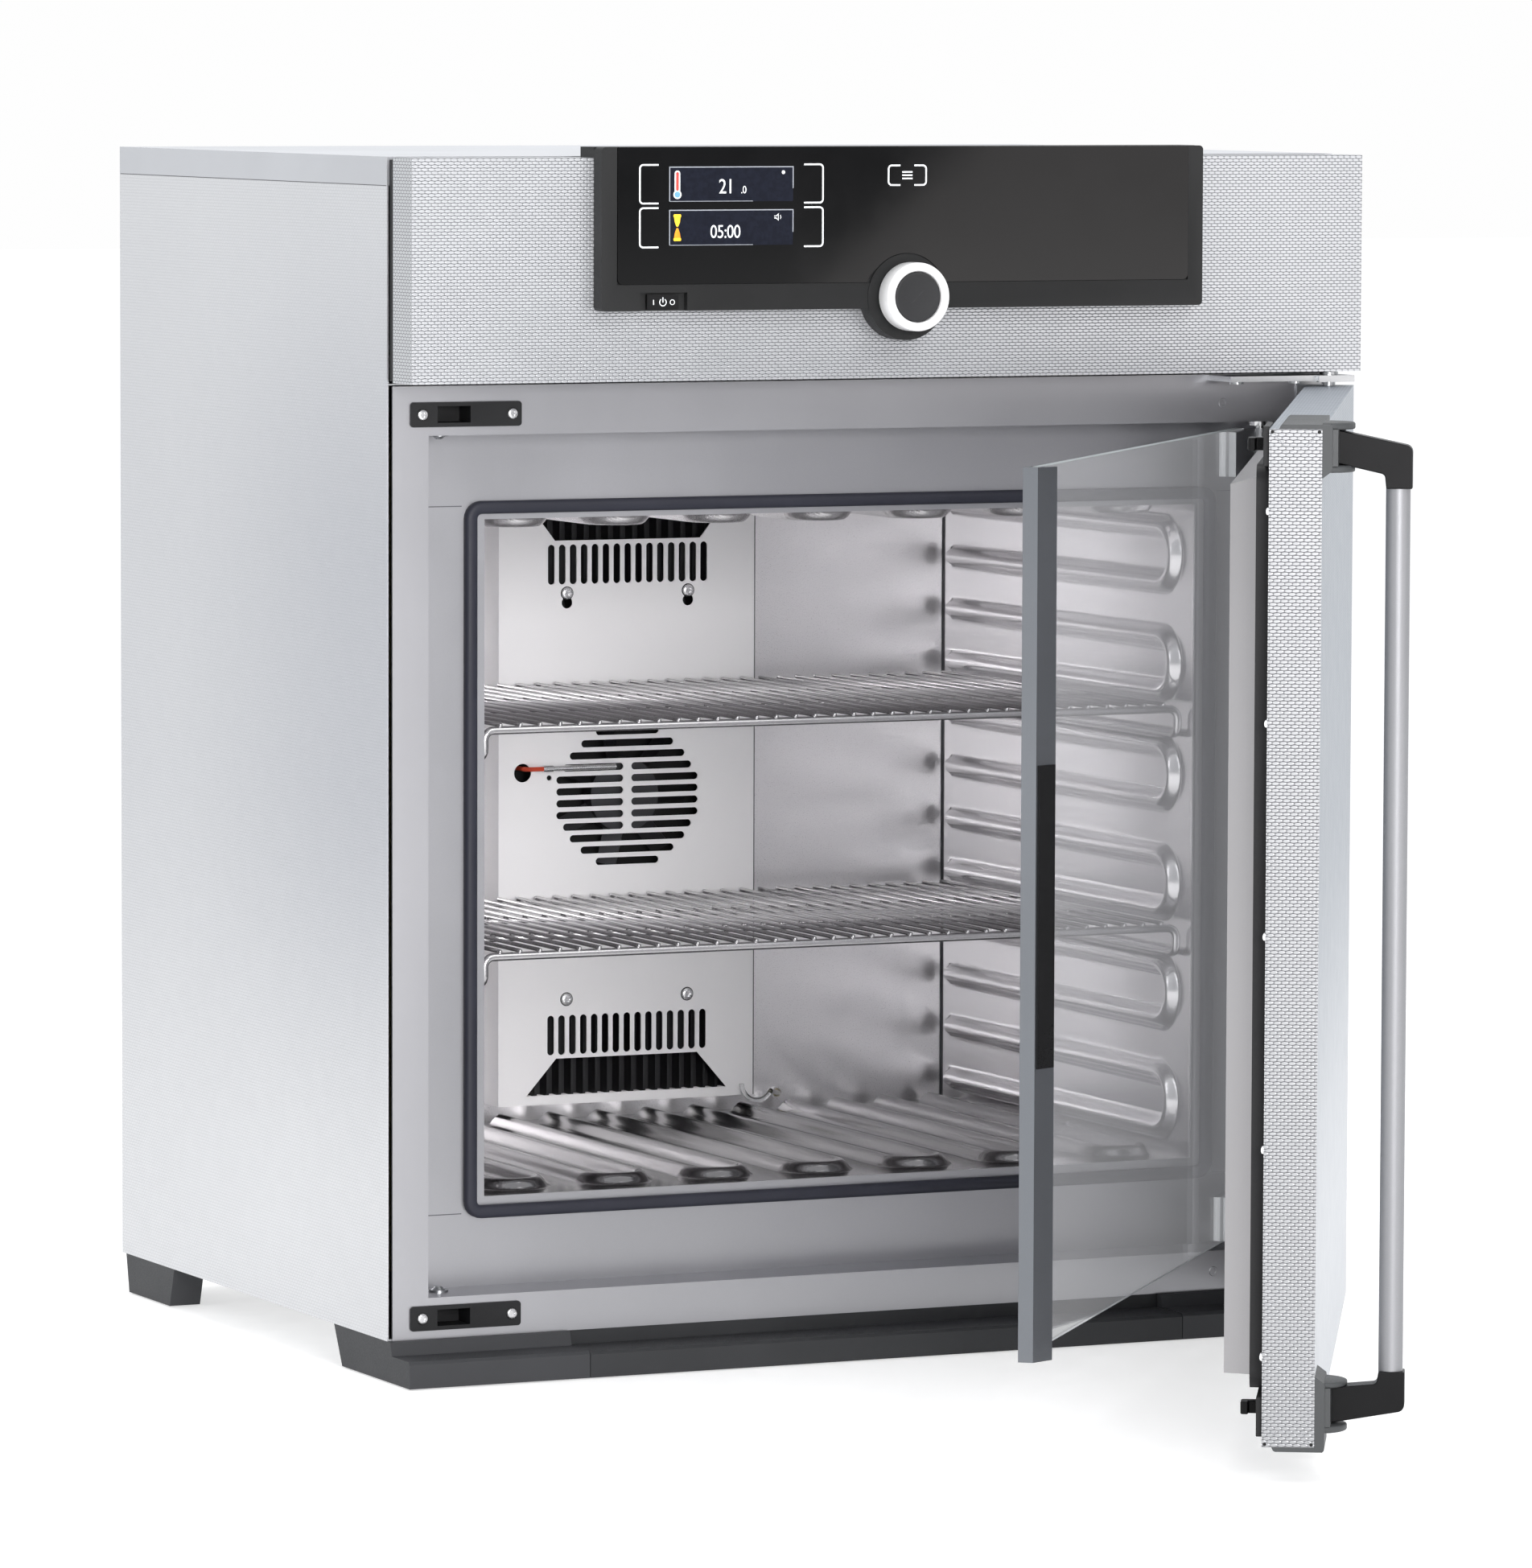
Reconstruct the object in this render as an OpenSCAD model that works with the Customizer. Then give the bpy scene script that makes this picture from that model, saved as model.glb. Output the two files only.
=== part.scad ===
// Bench-top laboratory incubator with a solid outer door, a glass inner door and two wire shelves.
// Origin: floor level under the front frame plane, on the cabinet's middle plane.
// X runs to the right, Y runs back into the cabinet, Z runs up. Millimetres.

/* [Cabinet] */
// Width of the cabinet over its side panels
cab_w = 745; // [725:1:790]
// Height of the cabinet body without its feet
cab_h = 828; // [815:1:860]
// Depth from the front frame plane to the back of the rear panel
cab_d = 514; // [510:1:560]
// Thickness of the casing sheet
sheet_t = 1.2; // [0.8:0.1:2]
// Depth of the down-turned edge of the top cover
top_lip = 20; // [14:1:24]
// Depth of the cooling hood behind the rear panel
hood_d = 26; // [24:1:60]
// Height of the feet
foot_h = 28.5; // [24:0.5:32]

/* [Chamber] */
// Half width of the chamber
ch_x = 280; // [280:1:284]
// Height of the chamber floor above the underside of the body
ch_z0 = 92.5; // [90:0.5:94]
// Height of the chamber ceiling above the underside of the body
ch_z1 = 572.5; // [572:0.5:576]
// Depth of the chamber rear wall behind the front frame plane
ch_y1 = 450; // [450:1:452]
// Distance between two neighbouring runs of a pressed rib
rib_pitch = 40.25; // [40:0.05:40.5]
// Width of a pressed rib
rib_w = 14; // [12:0.5:15]
// Height of a pressed rib
rib_h = 8; // [6:0.5:8.5]

/* [Shelves] */
// Rib run, counted from the floor, that carries the lower shelf
shelf_low_run = 3; // [1:1:4]
// Rib run, counted from the floor, that carries the upper shelf
shelf_high_run = 7; // [6:1:9]
// Number of wires that run front to back
shelf_wires = 35; // [25:1:37]
// Radius of a shelf wire
wire_r = 1.5; // [1.2:0.1:2]

/* [Doors] */
// Angle at which the outer door stands open
outer_open = 59.7; // [0:0.1:110]
// Angle at which the glass door stands open
glass_open = 49.5; // [0:0.5:90]
// Thickness of the glass pane
pane_t = 6; // [5:0.5:6]

/* [Controls] */
// Width of the control panel
panel_w = 471; // [460:1:480]
// Outer radius of the turning knob
knob_r = 24.2; // [22:0.1:26]

/* [Hidden] */

$fn = 48;
eps = 1;
run_fit = 0.05;

hw = cab_w / 2;
cab_in = hw - sheet_t;
cab_back_in = cab_d - sheet_t;
cab_shoulder = cab_h - top_lip;

// front frame: face plate, recess behind it and the plane that carries the chamber gasket
frame_t = 2;
frame_hw = hw - 3.8;
frame_top = 668.7;
rec_hw = hw - 31;
rec_z0 = 29;
rec_z1 = 634;
rec_y = 44;
ch_y0 = rec_y + frame_t;
liner_t = 1;

// fascia with the control panel
fas_y0 = -44;
fas_y1 = -10;
fas_z0 = 671.5;
fas_z1 = cab_h - 0.5;
fas_t = 1.5;

// outer door as it stands when it is closed
od_x0 = -(hw - 1.5);
od_x1 = hw;
od_y0 = -44;
od_y1 = -9.6;
od_z0 = -4.5;
od_z1 = 660.5;
od_px = hw - 16.5;
od_py = -26;
pin_r = 5;
liner_hw = 316;
liner_z0 = 36;
liner_z1 = 622;
liner_y = 17.5;
liner_slope = 8;

// handle: it swivels about an upright pin in each corner fitting
hd_px = -(hw - 27.5);
hd_py = -44;
hd_mid_z = 331.75;
boss_z = 17.25;
boss_h = 30.5;
boss_r = 21;
tube_y = -92.7;
tube_r = 8;
hook_z = 14.75;
hook_h = 8.5;

// strike plates in the front frame
strike_x0 = -355.6;
strike_x1 = -271.3;
strike_slot_x0 = -335.2;
strike_slot_x1 = -310.2;
strike_screw_x = [-346.5, -278.3];
strike_h = 17.4;
strike_slot_h = 11.6;

// glass door as it stands when it is closed
gd_px = hw - 44.5;
gd_py = 25;
gd_pin_r = 4;
pane_y = 31.5;
pane_x0 = -333;
pane_x1 = 300;

// fan and air duct on the rear wall
duct_y = 420;
duct_hw = 106;
fan_z = 339;
slot_pitch = 9;

// control panel
pan_hw = panel_w / 2;
pan_y = -57.5;
pan_z0 = 721;
pan_z1 = 835;
knob_z = 729.5;

shelf_run_z = function (run) ch_z0 + 18.5 + rib_pitch * run;

module lift() translate([0, 0, foot_h]) children();

module block(lo, hi) translate(lo) cube([hi[0] - lo[0], hi[1] - lo[1], hi[2] - lo[2]]);

module rect(lo, hi) translate(lo) square([hi[0] - lo[0], hi[1] - lo[1]]);

// an outline drawn in X and Z, as thick as from y0 to y1
module xz_plate(y0, y1) translate([0, y1, 0]) rotate([90, 0, 0]) linear_extrude(y1 - y0) children();

// an outline drawn in Y and Z, as thick as from x0 to x1
module yz_plate(x0, x1) translate([x0, 0, 0]) rotate([90, 0, 90]) linear_extrude(x1 - x0) children();

// an outline drawn in X and Y, as thick as from z0 to z1
module xy_plate(z0, z1) translate([0, 0, z0]) linear_extrude(z1 - z0) children();

module rod_x(x0, x1, y, z, r) translate([x0, y, z]) rotate([0, 90, 0]) cylinder(h = x1 - x0, r = r);

module rod_y(y0, y1, x, z, r) translate([x, y1, z]) rotate([90, 0, 0]) cylinder(h = y1 - y0, r = r);

module rod_z(z0, z1, x, y, r) translate([x, y, z0]) cylinder(h = z1 - z0, r = r);

module both_x() {
    children();
    mirror([1, 0, 0]) children();
}

// upper and lower fittings of the door mirror each other about hd_mid_z
module upper_twin() translate([0, 0, 2 * hd_mid_z]) mirror([0, 0, 1]) children();

module at_outer_door() lift() translate([od_px, od_py, 0]) rotate([0, 0, outer_open])
    translate([-od_px, -od_py, 0]) children();

module at_glass_door() lift() translate([gd_px, gd_py, 0]) rotate([0, 0, glass_open])
    translate([-gd_px, -gd_py, 0]) children();

// a slot with round ends, w long over its ends and h wide, lying along the first axis
module slot(w, h) {
    square([w - h, h], center = true);
    translate([(w - h) / 2, 0]) circle(r = h / 2, $fn = 24);
    translate([-(w - h) / 2, 0]) circle(r = h / 2, $fn = 24);
}

module round_rect(lo, hi, r) {
    rect([lo[0] + r, lo[1]], [hi[0] - r, hi[1]]);
    rect([lo[0], lo[1] + r], [hi[0], hi[1] - r]);
    for (x = [lo[0] + r, hi[0] - r], y = [lo[1] + r, hi[1] - r]) translate([x, y]) circle(r = r);
}

// ---------------------------------------------------------------- casing

module left_side_panel() {
    color("#d5d9dd") lift() block([-hw, 1, 0], [-cab_in, cab_d, cab_shoulder]);
}

module right_side_panel() {
    color("#d5d9dd") lift() block([cab_in, 1, 0], [hw, cab_d, cab_shoulder]);
}

module top_cover() {
    color("#d3e2e4") lift() difference() {
        block([-hw, 1, cab_shoulder], [hw, cab_d, cab_h]);
        block([-cab_in, 1 + sheet_t, cab_shoulder - eps], [cab_in, cab_back_in, cab_h - sheet_t]);
    }
}

module rear_panel() {
    color("#c9cdd1") lift() difference() {
        block([-cab_in, cab_back_in, 0], [cab_in, cab_d, cab_shoulder]);
        block([-145, cab_back_in - eps, 185], [145, cab_d + eps, 495]);
        block([281.8, cab_back_in - eps, 59.8], [330.2, cab_d + eps, 90.2]);
        for (i = [0 : 11]) translate([-140 + i * 14, 0, 0])
            xz_plate(cab_back_in - eps, cab_d + eps) translate([0, 740]) rotate(90) slot(50, 5);
    }
}

module rear_hood() {
    color("#c9cdd1") lift() difference() {
        block([-190, cab_d, 140], [190, cab_d + hood_d, 540]);
        block([-190 + sheet_t, cab_d - eps, 140 + sheet_t],
              [190 - sheet_t, cab_d + hood_d - sheet_t, 540 - sheet_t]);
        for (i = [-8 : 8], z = [220, 340, 460]) translate([i * 18, 0, 0])
            xz_plate(cab_d + hood_d - 3, cab_d + hood_d + eps)
                translate([0, z]) rotate(90) slot(90, 6);
    }
}

module base_plate() {
    color("#b9bdc1") lift() block([-cab_in, frame_t, 0], [cab_in, cab_back_in, sheet_t]);
}

module electronics_deck() {
    color("#b9bdc1") lift() block([-cab_in, frame_t, fas_z0 - 2], [cab_in, cab_back_in, fas_z0 - 1]);
}

// ---------------------------------------------------------------- front frame and latches

// the openings behind both strike plates and their screw holes
module strike_cuts(y0, y1) {
    for (z = [hook_z, 2 * hd_mid_z - hook_z]) {
        block([-344, y0, z - 6.9], [-309.1, y1, z + 6.9]);
        for (x = strike_screw_x) rod_y(y0, y1, x, z, 1.8);
    }
}

module front_frame() {
    color("#c3c6ca") lift() difference() {
        union() {
            block([-frame_hw, 0, 0], [frame_hw, frame_t, frame_top]);
            block([-rec_hw - frame_t, 0, rec_z0 - frame_t], [rec_hw + frame_t, rec_y, rec_z1 + frame_t]);
        }
        block([-rec_hw, -eps, rec_z0], [rec_hw, rec_y + eps, rec_z1]);
        strike_cuts(-eps, frame_t + eps);
    }
}

module recess_panel() {
    color("#c3c6ca") lift() difference() {
        block([-rec_hw - frame_t, rec_y, rec_z0 - frame_t], [rec_hw + frame_t, ch_y0, rec_z1 + frame_t]);
        block([-ch_x, rec_y - eps, ch_z0], [ch_x, ch_y0 + eps, ch_z1]);
    }
}

module strike() {
    difference() {
        union() {
            xz_plate(-1.5, 0) round_rect([strike_x0, hook_z - strike_h / 2],
                                         [strike_x1, hook_z + strike_h / 2], 2.5);
            block([-343.8, 0, hook_z - 6.7], [-309.3, 20, hook_z + 6.7]);
        }
        block([-342.9, 0, hook_z - strike_slot_h / 2], [strike_slot_x1, 19, hook_z + strike_slot_h / 2]);
        block([strike_slot_x0, -2, hook_z - strike_slot_h / 2], [strike_slot_x1, 1, hook_z + strike_slot_h / 2]);
        for (x = strike_screw_x) rod_y(-2, 1, x, hook_z, 1.8);
    }
}

module latch_strike_upper() {
    color("#26282b") lift() upper_twin() strike();
}

module latch_strike_lower() {
    color("#26282b") lift() strike();
}

module panel_screws() {
    color("#c8c4b8") lift() {
        for (x = strike_screw_x, z = [hook_z, 2 * hd_mid_z - hook_z]) {
            rod_y(-2.6, -1.5, x, z, 3.9);
            rod_y(-1.5, 4, x, z, 1.7);
        }
        for (x = [-50, 50], z = [186.4, 493.3]) {
            rod_y(duct_y - 2.4, duct_y, x, z, 4.6);
            rod_y(duct_y, duct_y + 6, x, z, 2);
        }
    }
}

module glass_door_catches() {
    color("#3c3f42") lift() for (side = [0, 1]) translate([-322, 28, side ? rec_z1 : rec_z0])
        mirror([0, 0, side]) {
            cylinder(h = 1.5, r = 7);
            translate([0, 0, 1.5]) cylinder(h = 2.2, r1 = 5, r2 = 2.5);
        }
}

// ---------------------------------------------------------------- chamber

// one pressed rib: two straight runs joined by a half ring at the front
module rib_outline(w) {
    reach = ch_y1 - 20;
    turn = 92;
    r_mid = rib_pitch / 2;
    for (s = [-1, 1]) {
        rect([turn, s * r_mid - w / 2], [reach - w / 2, s * r_mid + w / 2]);
        translate([reach - w / 2, s * r_mid]) circle(r = w / 2);
    }
    difference() {
        translate([turn, 0]) circle(r = r_mid + w / 2);
        translate([turn, 0]) circle(r = r_mid - w / 2);
        rect([turn, -50], [turn + 60, 50]);
    }
}

// a chamber wall lying in X and Y with its ribs standing up, from y = ch_y0 back to the rear wall
module ribbed_wall(half_w, rows) {
    difference() {
        union() {
            block([-half_w, ch_y0, -liner_t], [half_w, ch_y1, 0]);
            for (c = rows) translate([0, 0, -liner_t / 2]) linear_extrude(rib_h + liner_t / 2)
                translate([c, 0]) mirror([1, -1]) rib_outline(rib_w);
        }
        for (c = rows) translate([0, 0, -liner_t - eps]) linear_extrude(rib_h + eps)
            translate([c, 0]) mirror([1, -1]) rib_outline(rib_w - 2 * liner_t);
    }
}

side_rows = [for (i = [0 : 5]) shelf_run_z(2 * i) + rib_pitch / 2];
floor_rows = [for (i = [-3 : 3]) i * 2 * 40];

module chamber_left_wall() {
    mid = (ch_z0 + ch_z1) / 2;
    color("#bdbbbd") lift() translate([-ch_x, 0, mid]) rotate([0, 90, 0])
        ribbed_wall((ch_z1 - ch_z0) / 2, [for (z = side_rows) mid - z]);
}

module chamber_right_wall() {
    color("#bdbbbd") mirror([1, 0, 0]) chamber_left_wall();
}

module chamber_floor() {
    color("#bdbbbd") lift() translate([0, 0, ch_z0]) ribbed_wall(ch_x + liner_t, floor_rows);
}

module chamber_ceiling() {
    color("#bdbbbd") lift() translate([0, 0, ch_z1]) mirror([0, 0, 1])
        ribbed_wall(ch_x + liner_t, floor_rows);
}

module chamber_rear_wall() {
    color("#bdbbbd") lift() difference() {
        union() {
            block([-ch_x - liner_t, ch_y1, ch_z0 - liner_t],
                  [ch_x + liner_t, ch_y1 + liner_t, ch_z1 + liner_t]);
            rod_y(ch_y1 - 4, ch_y1 + 1, 138, 104, 4.6);
        }
        rod_y(ch_y1 - 5, ch_y1 + 2, 138, 104, 3.4);
    }
}

module chamber_gasket() {
    color("#2b2d33") lift() xz_plate(38, rec_y) difference() {
        round_rect([-296, 77.5], [296, 585.5], 10);
        round_rect([-287, 86.5], [287, 576.5], 5);
    }
}

module insulation_jacket() {
    color("#d8cfa8") lift() difference() {
        block([-335, ch_y0 + 1, 37], [335, 500, 628]);
        block([-ch_x - 5.5, ch_y0, ch_z0 - 5.5], [ch_x + 5.5, ch_y1 + 2, ch_z1 + 5.5]);
        for (z = [255, 425]) block([-31, ch_y1, z - 31], [31, 501, z + 31]);
        block([270, 480, 36], [336, 501, 104]);
    }
}

module heating_panels() {
    off = liner_t + 0.5;
    color("#8a6a3a") lift() {
        both_x() block([-ch_x - off - 3, 70, ch_z0 + 20], [-ch_x - off, 430, ch_z1 - 20]);
        block([-240, 70, ch_z0 - off - 3], [240, 430, ch_z0 - off]);
        block([-240, 70, ch_z1 + off], [240, 430, ch_z1 + off + 3]);
    }
}

// ---------------------------------------------------------------- air duct on the rear wall

fan_rows = [26, 38, 47.5, 53, 58.5, 58.5, 58.5, 58.5, 53, 47.5, 38.5, 26];

module duct_outline() {
    difference() {
        rect([-duct_hw, 107], [duct_hw, 563]);
        polygon([[-60, 533], [60, 533], [85, 565], [-85, 565]]);
        polygon([[-58.5, 141.6], [58.5, 141.6], [83, 114], [-83, 114]]);
        for (i = [-7 : 7], z = [159.3, 515]) translate([i * slot_pitch, z]) rotate(90) slot(30, 5.5);
        for (i = [0 : 11]) {
            z = fan_z + (5.5 - i) * 8.94;
            if (i > 2 && i < 9)
                for (s = [-1, 1]) translate([s * (fan_rows[i] + 3.35) / 2, z]) slot(fan_rows[i] - 3.35, 5.5);
            else
                translate([0, z]) slot(2 * fan_rows[i], 5.5);
        }
        translate([-86.3, 358.7]) circle(r = 7);
        translate([-64.5, 354.4]) circle(r = 2, $fn = 24);
        for (x = [-50, 50]) {
            translate([x, 186.4]) circle(r = 2.3);
            translate([x, 493.3]) circle(r = 2.3);
            translate([x, 486.2]) circle(r = 4.4);
        }
    }
}

module rear_cover_plate() {
    color("#cfcfd2") lift() {
        xz_plate(duct_y, duct_y + liner_t) duct_outline();
        both_x() block([-duct_hw, duct_y + liner_t, 107], [-duct_hw + liner_t, ch_y1, 563]);
    }
}

module inner_heat_sinks() {
    color("#202224") lift() for (z = [112, 452]) {
        block([-98, ch_y1 - 5, z], [98, ch_y1, z + 106]);
        for (i = [-9 : 9]) block([i * 10 - 1, ch_y1 - 18, z], [i * 10 + 1, ch_y1 - 5, z + 106]);
    }
}

module peltier_modules() {
    color("#e8e6e0") lift() for (z = [255, 425]) block([-30, ch_y1 + liner_t, z - 30], [30, 505, z + 30]);
}

module outer_heat_sink() {
    color("#a9adb1") lift() {
        block([-140, 505, 190], [140, 513, 490]);
        for (i = [-13 : 13]) block([i * 10 - 1, 513, 190], [i * 10 + 1, 534, 490]);
    }
}

module fan_motor() {
    color("#55585b") lift() {
        rod_y(430, ch_y1, 0, fan_z, 20);
        rod_y(424.5, 430, 0, fan_z, 3);
    }
}

module fan_impeller() {
    color("#6b6e72") lift() translate([0, 439, fan_z]) rotate([90, 0, 0]) difference() {
        union() {
            cylinder(h = 14, r = 28);
            for (i = [0 : 6]) rotate([0, 0, i * 360 / 7]) translate([40, 0, 6.5]) rotate([35, 0, 0])
                cube([28, 15, 1.6], center = true);
        }
        translate([0, 0, -eps]) cylinder(h = 12 + eps, r = 25.5);
        cylinder(h = 20, r = 3 + run_fit);
    }
}

module temperature_probe() {
    color("#c9c9c9") lift() {
        rod_x(-64, -12, 415, 361.8, 2);
        rod_x(-72, -64, 415, 361.8, 2.8);
        block([-52, 416.4, 359.8], [-48, duct_y, 363.8]);
    }
}

module probe_cable() {
    color("#c2482f") lift() {
        rod_y(duct_y, 440, -86.3, 361.8, 1.7);
        translate([-80.3, duct_y, 361.8]) rotate([180, 0, 0]) rotate_extrude(angle = 90, start = 90)
            translate([6, 0]) circle(r = 1.7, $fn = 24);
        rod_x(-80.3, -72, duct_y - 6, 361.8, 1.7);
    }
}

// the clear hose from the duct, in front of its lower corner, to the drain in the rear wall
module drain_line() {
    c = [105, 411, 116.6];
    turn_r = 13;
    hose_r = 1.8;
    color("#dfe3e4") lift() {
        translate(c) rotate([90, 0, 0]) rotate_extrude(angle = 150, start = 180)
            translate([turn_r, 0]) circle(r = hose_r, $fn = 24);
        p = c + [turn_r * cos(330), 0, turn_r * sin(330)];
        d = [138, ch_y1 - 6, 104] - p;
        translate(p) sphere(r = hose_r + 0.1);
        translate(p) rotate([0, acos(d[2] / norm(d)), atan2(d[1], d[0])]) cylinder(h = norm(d), r = hose_r);
    }
}

// ---------------------------------------------------------------- power and controls

module mains_inlet() {
    color("#1c1d1f") lift() difference() {
        union() {
            block([282, 488, 60], [330, cab_d, 90]);
            block([276, cab_d, 54], [336, cab_d + 3, 96]);
        }
        block([292, 494, 64], [320, cab_d + 4, 86]);
    }
}

module control_fascia() {
    color("#c9cdd0") lift() difference() {
        block([-hw, fas_y0, fas_z0], [hw, fas_y1, fas_z1]);
        block([-hw + fas_t, fas_y0 + fas_t, fas_z0 + fas_t], [hw - fas_t, 0, fas_z1 - fas_t]);
        block([-206, fas_y0 - eps, 739], [206, fas_y0 + 3, 815]);
        rod_y(fas_y0 - eps, fas_y0 + 3, -188, 727, 5);
        rod_y(fas_y0 - eps, fas_y0 + 3, 0, knob_z, 7);
    }
}

module fascia_seal() {
    color("#1e2023") lift() difference() {
        block([-hw + 2, fas_y1, fas_z0 + 1], [hw - 2, 0.8, fas_z1 - 1.5]);
        block([-hw + 12, fas_y1 - eps, fas_z0 + 8], [hw - 12, 2, fas_z1 - 8]);
    }
}

module panel_bezel() {
    color("#2f3134") lift() difference() {
        union() {
            difference() {
                xz_plate(pan_y, fas_y0) round_rect([-pan_hw, pan_z0], [pan_hw, pan_z1], 3);
                block([-223.8, pan_y - eps, 739.3], [223.8, -55.4, pan_z1 + eps]);
                block([-206, pan_y - eps, pan_z0 - eps], [-170, -52, 733.7]);
            }
            block([-pan_hw, fas_y0, fas_z1], [pan_hw, -21, pan_z1]);
            rod_y(-58, fas_y0, 0, knob_z - 0.5, 30.5);
            rod_y(-67, -58, 0, knob_z, 14);
        }
        block([-200, -53, 745], [200, fas_y0 + eps, 812]);
        rod_y(-68, fas_y0 + eps, 0, knob_z, 5 + run_fit);
        rod_y(-54, fas_y0 + eps, -188, 727, 3 + run_fit);
    }
}

module display_glass() {
    color("#0b0b0d") lift() xz_plate(-58, -55.5) difference() {
        union() {
            round_rect([-223.5, 739.6], [223.5, 770], 4);
            rect([-223.5, 750], [223.5, pan_z1]);
        }
        translate([0, knob_z - 0.5]) circle(r = 31);
    }
}

// display with its board behind the panel, and the power supply on the deck
module control_electronics() {
    color("#24503a") lift() {
        block([-190, -52.5, 750], [-80, -47, 808]);
        block([-80, -49, 750], [150, -47, 808]);
        block([150, 120, fas_z0 - 1], [330, 340, fas_z0 + 60]);
    }
}

module knob_ring() {
    color("#d9dadc") lift() difference() {
        union() {
            rod_y(-78, -62, 0, knob_z, knob_r);
            rod_y(-62, -58.5, 0, knob_z, knob_r - 2);
        }
        rod_y(-79, -68, 0, knob_z, 18);
        rod_y(-69, -58, 0, knob_z, 14 + run_fit);
    }
}

module confirm_button() {
    color("#3b3d40") lift() {
        rod_y(-76.5, -70.3, 0, knob_z, 17.6);
        rod_y(-70.3, -46, 0, knob_z, 5);
    }
}

module main_switch() {
    color("#1a1b1d") lift() {
        block([-200, -56, 722], [-176, -53.6, 732.6]);
        rod_y(-53.6, -42, -188, 727, 3);
    }
}

// ---------------------------------------------------------------- feet

module front_feet() {
    color("#2a2c2f") lift() difference() {
        for (x = [[-hw, -235], [235, 361]]) yz_plate(x[0], x[1])
            polygon([[-40, -foot_h], [83, -foot_h], [98, 0], [-5, 0], [-8, -9.6], [-38, -9.6], [-40, -11.6]]);
        block([od_px - 26.2, -9, -9.6], [hw + eps, 0, eps]);
    }
}

module rear_feet() {
    color("#2a2c2f") lift() both_x() yz_plate(-hw, -hw + 24)
        polygon([[417, -foot_h], [500, -foot_h], [506, 0], [408, 0]]);
}

module plinth_strip() {
    color("#3d4043") lift() yz_plate(-234.5, 234.5)
        polygon([[-40, -foot_h], [24, -foot_h], [24, 0], [0, 0], [0, -10], [-38, -10], [-40, -12]]);
}

// ---------------------------------------------------------------- hinges on the frame

module door_hinge_upper() {
    color("#9a9da1") lift() {
        block([od_px - 84, -34, 664.3], [hw - 1.5, 0, 668.3]);
        block([od_px - 14, -38, 663.5], [hw - 1.5, -34, 668.3]);
        block([od_px - 13, -2, 642], [hw - 4, 0, 664.3]);
        rod_z(646, 664.3, od_px, od_py, pin_r);
        rod_z(668.3, 670.5, od_px, od_py, 7);
        for (x = [od_px - 72, od_px - 24]) rod_z(662.3, 664.3, x, -20, 5);
    }
}

module door_hinge_lower() {
    color("#9a9da1") lift() {
        block([od_px - 26, -40, -9.6], [hw - 11.5, 0, -6]);
        block([od_px - 26, -2, -6], [hw - 11.5, 0, 18]);
        rod_z(-6, 10, od_px, od_py, pin_r);
        rod_z(-6, -4.8, od_px, od_py, 9);
    }
}

module glass_hinge_pins() {
    color("#a9acb0") lift() {
        rod_z(600, 630, gd_px, gd_py, gd_pin_r);
        rod_z(630, rec_z1, gd_px, gd_py, 9);
        rod_z(39.7, 66, gd_px, gd_py, gd_pin_r);
        rod_z(33, 39.7, gd_px, gd_py, 6);
        rod_z(rec_z0, 33, gd_px, gd_py, 9);
    }
}

// ---------------------------------------------------------------- shelves

module shelf(run) {
    rail_r = 3;
    rail_x = 274;
    top_z = shelf_run_z(run) + 29.2;
    rail_z = shelf_run_z(run) + rib_w / 2 + 0.3 + rail_r;
    y0 = 58;
    y1 = 414;
    gap = 2 * 262 / (shelf_wires - 1);
    color("#c7c8ca") lift() {
        for (y = [y0, y1]) {
            rod_x(-rail_x, rail_x, y, top_z, rail_r);
            both_x() rod_z(rail_z, top_z, -rail_x, y, rail_r - 0.1);
        }
        both_x() rod_y(y0, y1, -rail_x, rail_z, rail_r);
        for (y = [178, 296]) rod_x(-264, 264, y, top_z, 2.5);
        for (i = [0 : shelf_wires - 1])
            rod_y(y0 - 2, y1 + 2, -262 + i * gap, top_z + rail_r + wire_r - 0.7, wire_r);
    }
}

module shelf_upper() {
    shelf(shelf_high_run);
}

module shelf_lower() {
    shelf(shelf_low_run);
}

// ---------------------------------------------------------------- outer door

// the room that the latch levers sweep inside the door
module latch_room(y0, y1) {
    for (z = [hook_z, 2 * hd_mid_z - hook_z]) block([-364, y0, z - 8], [-304, y1, z + 8]);
}

module door_outer_skin() {
    color("#c5ced6") at_outer_door() difference() {
        block([od_x0, od_y0, od_z0], [od_x1, od_y1, od_z1]);
        block([od_x0 + sheet_t, od_y0 + sheet_t, od_z0 + sheet_t],
              [od_x1 - sheet_t, od_y1 + eps, od_z1 - sheet_t]);
        for (z = [boss_z, 2 * hd_mid_z - boss_z])
            block([-364, od_y0 - eps, z - 13], [-304, od_y0 + 3, z + 13.3]);
        rod_z(od_z0 - eps, od_z0 + 3, od_px, od_py, pin_r + run_fit);
        rod_z(od_z1 - 3, od_z1 + eps, od_px, od_py, pin_r + run_fit);
    }
}

// the pressed pan on the inside of the door, t smaller all round than its outside
module pan(t) {
    y_base = od_y1 - sheet_t;
    lift_off = liner_slope * (liner_y - y_base) / (liner_y - od_y1);
    intersection() {
        xy_plate(liner_z0 - 40, liner_z1 + 40) polygon([
            [-liner_hw - lift_off + t, y_base - eps], [-liner_hw + t, liner_y - t],
            [liner_hw - t, liner_y - t], [liner_hw + lift_off - t, y_base - eps]]);
        yz_plate(-liner_hw - 40, liner_hw + 40) polygon([
            [y_base - eps, liner_z0 + t], [liner_y - t, liner_z0 + t],
            [liner_y - t, liner_z1 - t], [y_base - eps, liner_z1 + lift_off - t]]);
    }
}

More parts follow.
